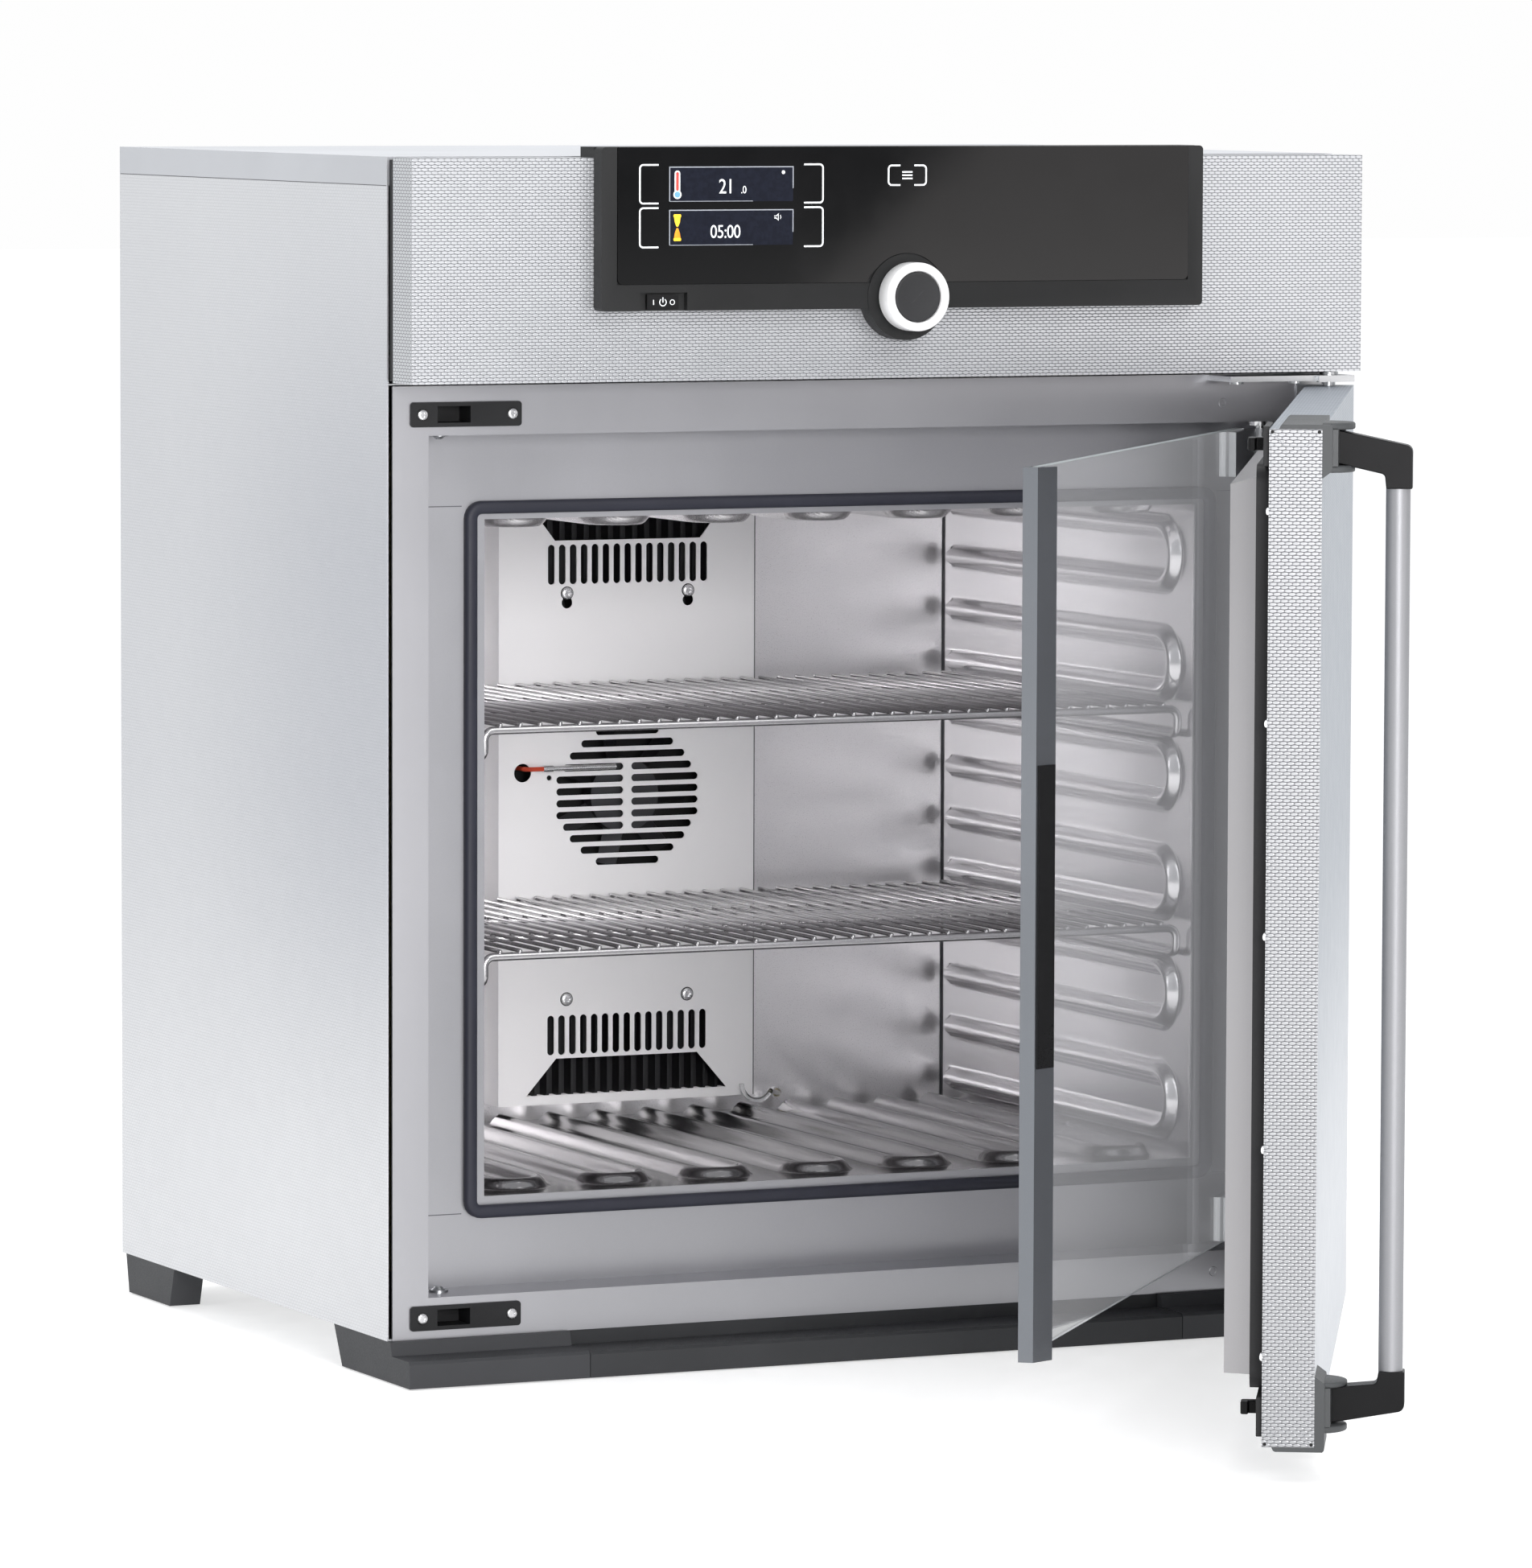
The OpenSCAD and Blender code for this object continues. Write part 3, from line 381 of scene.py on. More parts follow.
# the pane's faint glow is a painted reflection on the glass
PANE = clear_glass("door_glass", (0.99, 0.995, 1.0), clear=0.94, ior=1.2, reflection_glow=0.052)
HOSE = clear_glass("clear_hose", (0.93, 0.94, 0.94), 0.12)
REARWALL = behind_plate("rear_wall_steel_plate_shade", (0.84, 0.825, 0.84))
INSULATION = cloudy("mineral_wool", (0.62, 0.55, 0.34), 0.9, 160, 0.25, 0.001)
HEATER = cloudy("heating_film", (0.28, 0.15, 0.05), 0.4, 40, 0.15)
CERAMIC = cloudy("ceramic", (0.78, 0.77, 0.73), 0.5, 80, 0.06)
BOARD = cloudy("circuit_board", (0.02, 0.10, 0.05), 0.4, 60, 0.3)
RED = moulded("red_silicone", (0.55, 0.06, 0.025), 0.45)

# what each CAD node is made of, and the width in mm of the edges rounded on some of them
LOOK = {
    "left_side_panel": STEEL_SIDE, "right_side_panel": STEEL_SIDE, "top_cover": COVER, "rear_panel": REAR,
    "rear_hood": REAR, "base_plate": REAR, "front_frame": FRAME, "recess_panel": FRAME,
    "latch_strike_upper": SOFTBLACK, "latch_strike_lower": SOFTBLACK, "panel_screws": CHROME,
    "glass_door_catches": HINGE, "chamber_left_wall": CHAMBER, "chamber_right_wall": CHAMBER,
    "chamber_floor": CHAMBER, "chamber_ceiling": CHAMBER, "chamber_rear_wall": REARWALL, "chamber_gasket": RUBBER,
    "insulation_jacket": INSULATION, "heating_panels": HEATER, "rear_cover_plate": PLATE,
    "inner_heat_sinks": DARKMETAL, "peltier_modules": CERAMIC, "outer_heat_sink": ALU, "fan_motor": MOTOR,
    "fan_impeller": MOTOR, "temperature_probe": CHROME, "probe_cable": RED, "drain_line": HOSE,
    "electronics_deck": REAR, "control_electronics": BOARD, "mains_inlet": BLACK, "control_fascia": STEEL,
    "fascia_seal": SEAL, "panel_bezel": BEZEL, "display_glass": SCREEN, "knob_ring": ALU_RING,
    "confirm_button": BUTTON, "main_switch": BLACK, "front_feet": FEET, "rear_feet": FEET,
    "plinth_strip": PLINTH, "door_hinge_upper": HINGE, "door_hinge_lower": HINGE, "glass_hinge_pins": CHROME,
    "shelf_upper": WIRE, "shelf_lower": WIRE, "door_outer_skin": STEEL_DOOR, "door_inner_panel": DOORPAN,
    "door_insulation": INSULATION, "door_gasket": SEAL, "handle_corner_upper": GREY, "handle_corner_lower": GREY,
    "handle_arm_upper": BLACK, "handle_arm_lower": BLACK, "handle_tube": ALU, "glass_pane": PANE,
    "glass_edge_profile": ALU_EDGE, "grip_insert": BLACK, "glass_hinge_clamps": HINGE,
}
SOFT_EDGE = {
    "left_side_panel": 0.7, "right_side_panel": 0.7, "top_cover": 0.9, "rear_hood": 0.8, "front_frame": 0.6,
    "recess_panel": 0.4, "latch_strike_upper": 0.35, "latch_strike_lower": 0.35, "control_fascia": 0.9,
    "fascia_seal": 0.5, "panel_bezel": 0.9, "display_glass": 0.35, "main_switch": 0.5, "front_feet": 1.2,
    "rear_feet": 1.2, "plinth_strip": 0.9, "door_hinge_upper": 0.5, "door_hinge_lower": 0.5,
    "door_outer_skin": 0.8, "door_inner_panel": 0.9, "door_gasket": 1.2, "handle_corner_upper": 1.3,
    "handle_corner_lower": 1.3, "handle_arm_upper": 1.4, "handle_arm_lower": 1.4, "glass_pane": 0.4,
    "glass_edge_profile": 0.25, "grip_insert": 0.15, "glass_hinge_clamps": 0.6, "glass_door_catches": 0.4,
    "rear_cover_plate": 0.15, "mains_inlet": 0.6,
}


def soften(o, width, segments=2):
    """Rounds an object's sharp edges; width is in mm."""
    b = o.modifiers.new("soft_edges", "BEVEL")
    b.width = width / 1000
    b.segments = segments
    b.limit_method = "ANGLE"
    b.angle_limit = math.radians(40)
    b.harden_normals = True
    b.use_clamp_overlap = True


for name, o in NODE.items():
    o.data.materials.clear()
    o.data.materials.append(LOOK[name])
    if name in SOFT_EDGE:
        soften(o, SOFT_EDGE[name])

# ---------------------------------------------------------------- mesh building


def turned(pin, degrees):
    """A function that turns a point in mm about the pin's upright axis and gives it in metres over the floor."""
    px, py = pin
    c, s = math.cos(math.radians(degrees)), math.sin(math.radians(degrees))

    def place(p):
        x, y = p[0] - px, p[1] - py
        return Vector((px + c * x - s * y, py + s * x + c * y, p[2] + FOOT)) / 1000
    return place


CAB = turned((0, 0), 0)
DOOR = turned(OUTER_PIN, OUTER_OPEN)
GDOOR = turned(GLASS_PIN, GLASS_OPEN)


class Shape:
    """Points and faces in mm in a piece's own closed position, put in place by the function place."""

    def __init__(self, place=CAB):
        self.v, self.f, self.k, self.place = [], [], [], place

    def add(self, pts, faces, k=0):
        n = len(self.v)
        self.v += [self.place(p) for p in pts]
        self.f += [[i + n for i in f] for f in faces]
        self.k += [k] * len(faces)
        return self

    def box(self, lo, hi):
        pts = [(x, y, z) for x in (lo[0], hi[0]) for y in (lo[1], hi[1]) for z in (lo[2], hi[2])]
        return self.add(pts, [(0, 1, 3, 2), (4, 6, 7, 5), (0, 4, 5, 1), (2, 3, 7, 6), (0, 2, 6, 4), (1, 5, 7, 3)])

    def prism(self, outline, axis, a, b, k=0):
        """outline is in the other two axes: Y and Z for x, X and Z for y, X and Y for z."""
        put = {"x": lambda p, t: (t, p[0], p[1]), "y": lambda p, t: (p[0], t, p[1]),
               "z": lambda p, t: (p[0], p[1], t)}[axis]
        n = len(outline)
        pts = [put(p, a) for p in outline] + [put(p, b) for p in outline]
        faces = [list(range(n)), list(range(2 * n - 1, n - 1, -1))]
        faces += [(i, i + n, (i + 1) % n + n, (i + 1) % n) for i in range(n)]
        return self.add(pts, faces, k)

    def rings(self, rings, k=0, closed=False):
        """A skin over rings of points, capped at both ends, or joined end to end when closed."""
        n = len(rings[0])
        pts = [p for r in rings for p in r]
        m = len(rings)
        faces = []
        for j in range(m if closed else m - 1):
            a, b = j * n, (j + 1) % m * n
            faces += [(a + i, a + (i + 1) % n, b + (i + 1) % n, b + i) for i in range(n)]
        if not closed:
            faces += [list(range(n)), [(m - 1) * n + i for i in range(n - 1, -1, -1)]]
        return self.add(pts, faces, k)

    def tube(self, path, r, seg, closed=False):
        """A rod of radius r along a path, with rounded ends unless closed."""
        path = [Vector(p) for p in path]
        m = len(path)
        tang = []
        for i in range(m):
            a = path[i - 1] if (i or closed) else path[i]
            b = path[(i + 1) % m] if (i < m - 1 or closed) else path[i]
            tang.append((b - a).normalized())
        side = tang[0].orthogonal().normalized()
        frames = []
        for i in range(m):
            side = (side - side.dot(tang[i]) * tang[i]).normalized()
            frames.append((side.copy(), tang[i].cross(side)))
        rings = []

        def ring(c, f, rad):
            turns = [2 * math.pi * j / seg for j in range(seg)]
            return [c + f[0] * (rad * math.cos(a)) + f[1] * (rad * math.sin(a)) for a in turns]

        def nose(i, way, cut):
            """A narrower ring past the end of the path, for a rounded end."""
            out = tang[i] * r * 0.6 * math.sin(math.acos(1 - cut))
            return ring(path[i] + way * out, frames[i], r * (1 - cut))
        cuts = () if closed else (0.4, 0.75, 0.97)
        rings += [nose(0, -1, cut) for cut in reversed(cuts)]
        rings += [ring(path[i], frames[i], r) for i in range(m)]
        rings += [nose(-1, 1, cut) for cut in cuts]
        return self.rings(rings, closed=closed)

    def lathe(self, profile, centre, axis, seg, k=0, radius=None):
        """profile is (radius, place along axis); radius(angle, ring) may change it round the turn."""
        rings = []
        for i, (r, t) in enumerate(profile):
            ring = []
            for j in range(seg):
                a = 2 * math.pi * j / seg
                q = radius(a, i, r) if radius else r
                c, s = q * math.cos(a), q * math.sin(a)
                ring.append({"x": (centre[0] + t, centre[1] + c, centre[2] + s),
                             "y": (centre[0] + c, centre[1] + t, centre[2] + s),
                             "z": (centre[0] + c, centre[1] + s, centre[2] + t)}[axis])
            rings.append(ring)
        return self.rings(rings, k)

    def done(self, name, body, slot, mats, replaces=(), bevel=0.0, segments=2, angle=38):
        """Makes the piece, lets it ride on its body and hides the CAD nodes it stands for."""
        mesh = bpy.data.meshes.new(name)
        mesh.from_pydata(self.v, [], self.f)
        for m in mats if isinstance(mats, (list, tuple)) else [mats]:
            mesh.materials.append(m)
        mesh.polygons.foreach_set("material_index", self.k)
        bm = bmesh.new()
        bm.from_mesh(mesh)
        bmesh.ops.recalc_face_normals(bm, faces=bm.faces)
        bm.to_mesh(mesh)
        bm.free()
        mesh.polygons.foreach_set("use_smooth", [True] * len(mesh.polygons))
        mesh.set_sharp_from_angle(angle=math.radians(angle))
        o = bpy.data.objects.new(name, mesh)
        scene.collection.objects.link(o)
        if bevel:
            soften(o, bevel, segments)
        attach(o, body)
        if replaces:
            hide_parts(*replaces)
        return o


def fillet(points, r, parts, closed=False):
    """The path through points with each corner rounded to radius r."""
    pts = [Vector(p) for p in points]
    out = []
    n = len(pts)
    for i in range(n):
        if not closed and i in (0, n - 1):
            out.append(pts[i])
            continue
        a, b, c = pts[i - 1], pts[i], pts[(i + 1) % n]
        u, w = (a - b).normalized(), (c - b).normalized()
        half = u.angle(w) / 2
        cut = min(r / math.tan(half), (a - b).length * 0.49, (c - b).length * 0.49)
        rad = cut * math.tan(half)
        centre = b + (u + w).normalized() * (rad / math.sin(half))
        s, e = b + u * cut - centre, b + w * cut - centre
        ang = s.angle(e)
        for j in range(parts + 1):
            t = j / parts
            out.append(centre + (s * math.sin((1 - t) * ang) + e * math.sin(t * ang)) / math.sin(ang))
    return out


def round_rect(x0, z0, x1, z1, r, parts=6):
    """The outline of a rectangle with its corners rounded to radius r."""
    out = []
    for mx, mz, a0 in ((x1 - r, z1 - r, 0), (x0 + r, z1 - r, 90), (x0 + r, z0 + r, 180), (x1 - r, z0 + r, 270)):
        for j in range(parts + 1):
            a = math.radians(a0 + 90 * j / parts)
            out.append((mx + r * math.cos(a), mz + r * math.sin(a)))
    return out


# ---------------------------------------------------------------- chamber with pressed ribs


def rib_height(along, across, centres):
    """How far the sheet rises at a place; each rib is a long U, closed at the front."""
    front, rear = 92.0, 430.0  # the half ring lies before front, and the straight runs end at rear
    best = math.inf
    for c in centres:
        off = abs(across - c)
        if along < front:
            gap = abs(math.hypot(along - front, off) - RIB_HALF)
        elif along <= rear:
            gap = abs(off - RIB_HALF)
        else:
            gap = math.hypot(along - rear, off - RIB_HALF)
        best = min(best, gap)
    t = best / RIB_SPREAD
    return RIB_RISE * (1 - t * t) ** 1.3 if t < 1 else 0.0


def steps(*spans):
    """Values over spans of (from, to, about how far apart)."""
    out = []
    for a, b, d in spans:
        n = max(1, round((b - a) / d))
        out += [a + (b - a) * i / n for i in range(n)]
    return out + [spans[-1][1]]


def ribbed(name, node, put, lo, hi, centres, mat):
    """A chamber sheet with its ribs; put gives the point for a depth, a place across and a rise."""
    along = steps((CH_FRONT, 58, 4), (58, 118, 1.6), (118, 418, 10), (418, 442, 2), (442, CH_REAR, 4))
    across = steps((lo, hi, 1.7))
    s = Shape()
    pts = [put(a, c, rib_height(a, c, centres)) for a in along for c in across]
    w = len(across)
    faces = [(i * w + j, i * w + j + 1, (i + 1) * w + j + 1, (i + 1) * w + j)
             for i in range(len(along) - 1) for j in range(w - 1)]
    s.add(pts, faces)
    return s.done(name, "cabinet", "chamber_steel", mat, (node,), angle=60)


def rib_run(i):
    """The height of a straight rib run in the side walls."""
    return CH_FLOOR + FIRST_RUN + RIB_PITCH * i


side_ribs = [rib_run(2 * i) + RIB_HALF for i in range(6)]
floor_ribs = [80.0 * i for i in range(-3, 4)]
ribbed("ribbed_wall_left", "chamber_left_wall", lambda a, c, h: (-CH_HALF + h, a, c), CH_FLOOR, CH_TOP, side_ribs,
       CHAMBER)
ribbed("ribbed_wall_right", "chamber_right_wall", lambda a, c, h: (CH_HALF - h, a, c), CH_FLOOR, CH_TOP, side_ribs,
       CHAMBER)
ribbed("ribbed_base", "chamber_floor", lambda a, c, h: (c, a, CH_FLOOR + h), -CH_HALF, CH_HALF, floor_ribs, SHADED_BASE_STEEL)
ribbed("ribbed_roof", "chamber_ceiling", lambda a, c, h: (c, a, CH_TOP - h), -CH_HALF, CH_HALF, floor_ribs, CHAMBER)


def frame_ring(path, profile):
    """A closed strip with a profile of (outwards, y) along a closed path in X and Z."""
    n = len(path)
    rings = []
    for i in range(n):
        a, b = path[i - 1], path[(i + 1) % n]
        tx, tz = b[0] - a[0], b[1] - a[1]
        ln = math.hypot(tx, tz)
        nx, nz = tz / ln, -tx / ln
        rings.append([(path[i][0] + nx * p[0], p[1], path[i][1] + nz * p[0]) for p in profile])
    return Shape().rings(rings, closed=True)


bead = [(-4.5, 44), (-4.5, 40.2), (-3.6, 38.9), (-2.2, 38.3), (0, 38.0),
        (2.2, 38.3), (3.6, 38.9), (4.5, 40.2), (4.5, 44)]
frame_ring(round_rect(-291.5, 82, 291.5, 581, 8), bead).done(
    "chamber_seal_bead", "cabinet", "rubber", RUBBER, ("chamber_gasket",), angle=50)

# ---------------------------------------------------------------- shelves


def shelf(name, node, body, run):
    """A wire shelf whose two side rails rest on the rib run at the height run."""
    wires = 35
    half, front, rear = 274, 58, 414
    rail = run + 7 + 0.3 + 3
    top = run + 29.2
    s = Shape()
    loop = [(-half, rear, rail), (-half, front, rail), (-half, front, top), (half, front, top), (half, front, rail),
            (half, rear, rail), (half, rear, top), (-half, rear, top)]
    s.tube(fillet(loop, 7, 6, closed=True), 3.0, 14, closed=True)
    for y in (178, 296):
        s.tube([(-266, y, top), (266, y, top)], 2.5, 10)
    for i in range(wires):
        x = -262 + i * 524 / (wires - 1)
        s.tube([(x, 56.6, top + 3.8), (x, 415.4, top + 3.8)], 1.5, 8)
        for y in (front, 178, 296, rear):
            s.lathe([(0.6, -1.4), (1.9, -0.6), (1.9, 0.9), (0.6, 1.5)], (x, y, top + 3.0), "z", 8)
    s.done(name, body, "wire_steel", WIRE, (node,), angle=50)


shelf("wire_shelf_upper", "shelf_upper", "upper_shelf", rib_run(7))
shelf("wire_shelf_lower", "shelf_lower", "lower_shelf", rib_run(3))

# ---------------------------------------------------------------- control panel

knob = (0, 0, 729.5)
ring_profile = [(14.05, -58.5), (22.0, -58.5), (22.2, -61.8), (23.7, -62.2), (24.2, -63), (24.2, -76.4),
                (23.9, -77.3), (23.1, -77.9), (22.2, -78), (19.4, -78), (18.7, -77.6), (18.1, -76.6),
                (18.05, -69.0), (14.05, -69.0)]
button_profile = [(0.05, -46), (5, -46), (5, -70.3), (17.2, -70.3), (17.6, -70.8), (17.6, -75.7), (17.3, -76.3),
                  (16.6, -76.5), (15.4, -76.4), (12, -75.95), (8, -75.6), (4, -75.42), (0.05, -75.38)]
Shape().lathe(ring_profile, knob, "y", 120).done(
    "turned_knob_ring", "knob", "aluminium", ALU_RING, ("knob_ring",), angle=50)
Shape().lathe(button_profile, knob, "y", 96).done(
    "dished_confirm_button", "confirm", "black_plastic", BUTTON, ("confirm_button",), angle=50)

WHITE = glowing("white_mark", (0.86, 0.88, 0.90), 0.35, 0.04)
DIM = glowing("dim_mark", (0.34, 0.36, 0.40), 0.25, 0.05)
NAVY = glowing("screen_navy", (0.0075, 0.009, 0.016), 0.75, 0.25)
BLUE = glowing("icon_blue", (0.16, 0.38, 0.80), 0.6, 0.2)
RED_ICON = glowing("icon_red", (0.70, 0.07, 0.06), 0.6, 0.2)
YELLOW = glowing("icon_yellow", (0.93, 0.62, 0.05), 0.7, 0.2)
ORANGE = glowing("icon_orange", (0.85, 0.30, 0.03), 0.7, 0.2)


def line(s, path, w, y=GLASS_FACE, t=0.12, k=0, closed=False):
    """A flat printed line of width w along points in X and Z, mitred at its corners."""
    pts = [Vector(p) for p in path]
    n = len(pts)
    rings = []
    for i in range(n):
        a = pts[i - 1] if (i or closed) else pts[i]
        b = pts[(i + 1) % n] if (i < n - 1 or closed) else pts[i]
        u = (pts[i] - a).normalized() if (pts[i] - a).length else (b - pts[i]).normalized()
        v = (b - pts[i]).normalized() if (b - pts[i]).length else u
        m = Vector((-(u + v).y, (u + v).x)).normalized()
        q = m * (w / 2 / max(0.5, m.dot(Vector((-u.y, u.x)))))
        rings.append([(pts[i].x + q.x, y, pts[i].y + q.y), (pts[i].x - q.x, y, pts[i].y - q.y),
                      (pts[i].x - q.x, y - t, pts[i].y - q.y), (pts[i].x + q.x, y - t, pts[i].y + q.y)])
    return s.rings(rings, k, closed)


def arc(mx, mz, r, a0, a1, n=8):
    """Points in X and Z on an arc from a0 to a1 degrees about (mx, mz)."""
    angles = [math.radians(a0 + (a1 - a0) * i / n) for i in range(n + 1)]
    return [(mx + r * math.cos(a), mz + r * math.sin(a)) for a in angles]


screens = Shape()  # two displays, each with a key mark on both sides, and the menu key to their right
marks = Shape()
for z0, z1 in ((797.0, 821.0), (766.5, 791.0)):
    screens.prism(round_rect(-184, z0, -89, z1, 0.8, 3), "y", GLASS_FACE, MARK_FACE)
    line(screens, [(-184, z0 + 0.4), (-184, z1), (-89, z1), (-89, z0 + 9)], 0.7, MARK_FACE, 0.06, 1)
    line(screens, [(-184, z0 + 0.2), (-120, z0 + 0.2)], 0.4, MARK_FACE, 0.06, 1)
    zl, zh = z0 - 1.2, z1 + 1.6
    line(marks, [(-192.5, zh)] + arc(-204.2, zh - 2.5, 2.5, 90, 180) + arc(-204.2, zl + 2.5, 2.5, 180, 270)
         + [(-192.5, zl)], 1.15)
    line(marks, [(-80.4, zh)] + arc(-68.3, zh - 2.5, 2.5, 90, 0) + arc(-68.3, zl + 2.5, 2.5, 0, -90)
         + [(-80.4, zl)], 1.15)
for side in (-1, 1):
    line(marks, [(side * 5.5, 821.6)] + [(side * x, z) for x, z in arc(12.2, 819.1, 2.5, 90, 0)]
         + [(side * x, z) for x, z in arc(12.2, 810.3, 2.5, 0, -90)] + [(side * 5.5, 807.8)], 1.15)
for z in (814.7, 817.0, 812.4):
    line(marks, [(-4.0, z), (4.0, z)], 1.0)
marks.prism(arc(-96.5, 817.2, 1.3, 0, 345, 12), "y", MARK_FACE, ICON_FACE)
line(marks, [(-103.5, 786.6), (-102, 786.6), (-100.4, 788.0), (-100.4, 783.8), (-102, 785.2), (-103.5, 785.2)], 0.6,
     MARK_FACE, 0.06)
line(marks, arc(-100.2, 785.9, 1.8, -45, 45), 0.5, MARK_FACE, 0.06)

icons = Shape()  # a thermometer, white with red and blue, and an hourglass, yellow with orange sand
icons.prism(round_rect(-180.2, 802.5, -176.0, 818.6, 2.0, 4), "y", MARK_FACE, ICON_FACE, 0)
icons.prism(arc(-178.1, 801.9, 3.1, 0, 345, 14), "y", MARK_FACE, -58.22, 0)
icons.prism(round_rect(-179.2, 804.5, -177.0, 817.6, 1.0, 4), "y", ICON_FACE, -58.26, 1)
icons.prism(arc(-178.1, 801.9, 2.2, 0, 345, 14), "y", -58.22, -58.28, 2)
for z in (786.0, 769.6):
    icons.prism(round_rect(-181.0, z, -175.2, z + 2.2, 0.8, 3), "y", MARK_FACE, ICON_FACE, 3)
icons.prism([(-180.6, 786.2), (-175.6, 786.2), (-176.2, 782.6), (-177.5, 779.6), (-178.7, 779.6), (-180.0, 782.6)],
            "y", MARK_FACE, ICON_FACE, 3)
icons.prism([(-180.6, 771.8), (-180.0, 775.2), (-178.7, 778.6), (-177.5, 778.6), (-176.2, 775.2), (-175.6, 771.8)],
            "y", MARK_FACE, ICON_FACE, 4)


def figures(text, size, x, z, name):
    """Figures as flat printed shapes, with their left foot at x and z."""
    curve = bpy.data.curves.new(name + "_outline", "FONT")
    curve.body = text
    curve.size = size
    curve.resolution_u = 4
    curve.space_character = 0.95
    o = bpy.data.objects.new(name + "_outline", curve)
    scene.collection.objects.link(o)
    bpy.context.view_layer.update()
    mesh = bpy.data.meshes.new_from_object(o.evaluated_get(bpy.context.evaluated_depsgraph_get()))
    bpy.data.objects.remove(o)
    s = Shape()
    pts = [(x + v.co.x * 0.86, -58.14, z + v.co.y) for v in mesh.vertices]
    s.add(pts, [list(p.vertices) for p in mesh.polygons])
    edges = {}
    for p in mesh.polygons:
        for e in p.edge_keys:
            edges[e] = edges.get(e, 0) + 1
    n = len(pts)
    s.add([(p[0], -58.22, p[2]) for p in pts], [list(reversed(p.vertices)) for p in mesh.polygons])
    s.f += [(a, b, b + n, a + n) for (a, b), c in edges.items() if c == 1]
    s.k += [0] * (len(s.f) - len(s.k))
    return s.done(name, "cabinet", "panel_glass", WHITE)


screens.done("display_screens", "cabinet", "panel_glass", (NAVY, DIM))
marks.done("touch_marks", "cabinet", "panel_glass", WHITE)
icons.done("display_icons", "cabinet", "panel_glass", (WHITE, RED_ICON, BLUE, YELLOW, ORANGE))
figures("21", 14.5, -146.5, 802.6, "figure_temperature")
figures(".0", 7.5, -129.4, 802.6, "figure_tenths")
figures("05:00", 13.0, -153.0, 771.6, "figure_time")

power = Shape()
line(power, arc(-188, 727.0, 2.5, 125, 415, 20), 0.6, SWITCH_FACE, 0.1)
line(power, [(-188, 726.8), (-188, 730.6)], 0.6, SWITCH_FACE, 0.1)
line(power, [(-195.2, 725.2), (-195.2, 728.8)], 0.55, SWITCH_FACE, 0.1)
line(power, arc(-180.8, 727.0, 1.7, 0, 352, 16), 0.5, SWITCH_FACE, 0.1, closed=True)
power.done("power_marks", "mains_button", "black_plastic", WHITE)

# ---------------------------------------------------------------- screws


def screw(s, x, y, z, r, h, out="y-"):
    """A domed head with a six-lobed socket, over a dark ring; out is the way its face looks."""
    def star(a, i, q):
        return q * (1 + 0.16 * math.cos(6 * a)) if i in (0, 1, 2) else q
    prof = [(0.05, 0.55), (r * 0.46, 0.55), (r * 0.48, h), (r * 0.62, h), (r * 0.86, h * 0.8), (r * 0.98, h * 0.35),
            (r, 0.0)]
    sign = -1 if out.endswith("-") else 1
    s.lathe([(r * 0.9, sign * 0.14), (r + 0.5, sign * 0.14), (r + 0.6, 0), (r * 0.9, 0)], (x, y, z), out[0], 28, 1)
    s.lathe([(q, sign * t) for q, t in prof], (x, y, z), out[0], 36, radius=star)


front_screws = Shape()
for x in (-346.5, -278.3):
    for z in (LATCH_LOW, LATCH_HIGH):
        screw(front_screws, x, -1.5, z, 3.9, 1.5)
for x in (-50, 50):
    for z in (186.4, 493.3):
        screw(front_screws, x, DUCT_Y, z, 4.6, 2.4)
        front_screws.lathe([(2, 0), (2, 6), (0.05, 6)], (x, DUCT_Y, z), "y", 16)
front_screws.done("lobed_screws", "cabinet", "hinge_steel", (SCREW, HOLE), ("panel_screws",), angle=30)

rear_screws = Shape()
for x in (-355, -120, 120, 355):
    for z in (20, 790):
        screw(rear_screws, x, CAB_REAR, z, 4, 2, "y+")
for z in (210, 400, 600):
    for x in (-355, 355):
        screw(rear_screws, x, CAB_REAR, z, 4, 2, "y+")
for x in (-180, 180):
    for z in (152, 528):
        screw(rear_screws, x, HOOD_REAR, z, 3.4, 1.6, "y+")
rear_screws.done("rear_screws", "cabinet", "hinge_steel", (SCREW, HOLE), angle=30)

caps = Shape()  # a cap at the right end of the front frame's upper bar and one at that of its lower bar
for x, z in ((283.6, 647.8), (280.9, 13.8)):
    caps.lathe([(0.05, -0.25), (1.6, -0.25), (1.8, -0.5), (3.3, -0.5), (3.6, 0.0)], (x, 0, z), "y", 36)
caps.done("frame_caps", "cabinet", "frame_steel", FRAME, angle=30)

pins = Shape()  # the mains inlet's three pins
for x, z in ((306, 80), (297.5, 70.5), (314.5, 70.5)):
    pins.box((x - 1, 497, z - 3), (x + 1, 513, z + 3))
pins.done("socket_pins", "cabinet", "hinge_steel", CHROME, bevel=0.3)

# ---------------------------------------------------------------- joint lines of recess, chamber and cover, and a painted shadow line on the duct plate

DARK_JOINT_AND_SHADE = moulded("dark_joint_and_shadow_line", (0.10, 0.102, 0.108), 0.6)
joints_and_shadow = Shape()
for z in (81.0, 582.0):
    for x0, x1 in ((-341.2, -297.5), (297.5, 341.2)):
        joints_and_shadow.box((x0, 43.86, z - 0.35), (x1, 44.1, z + 0.35))
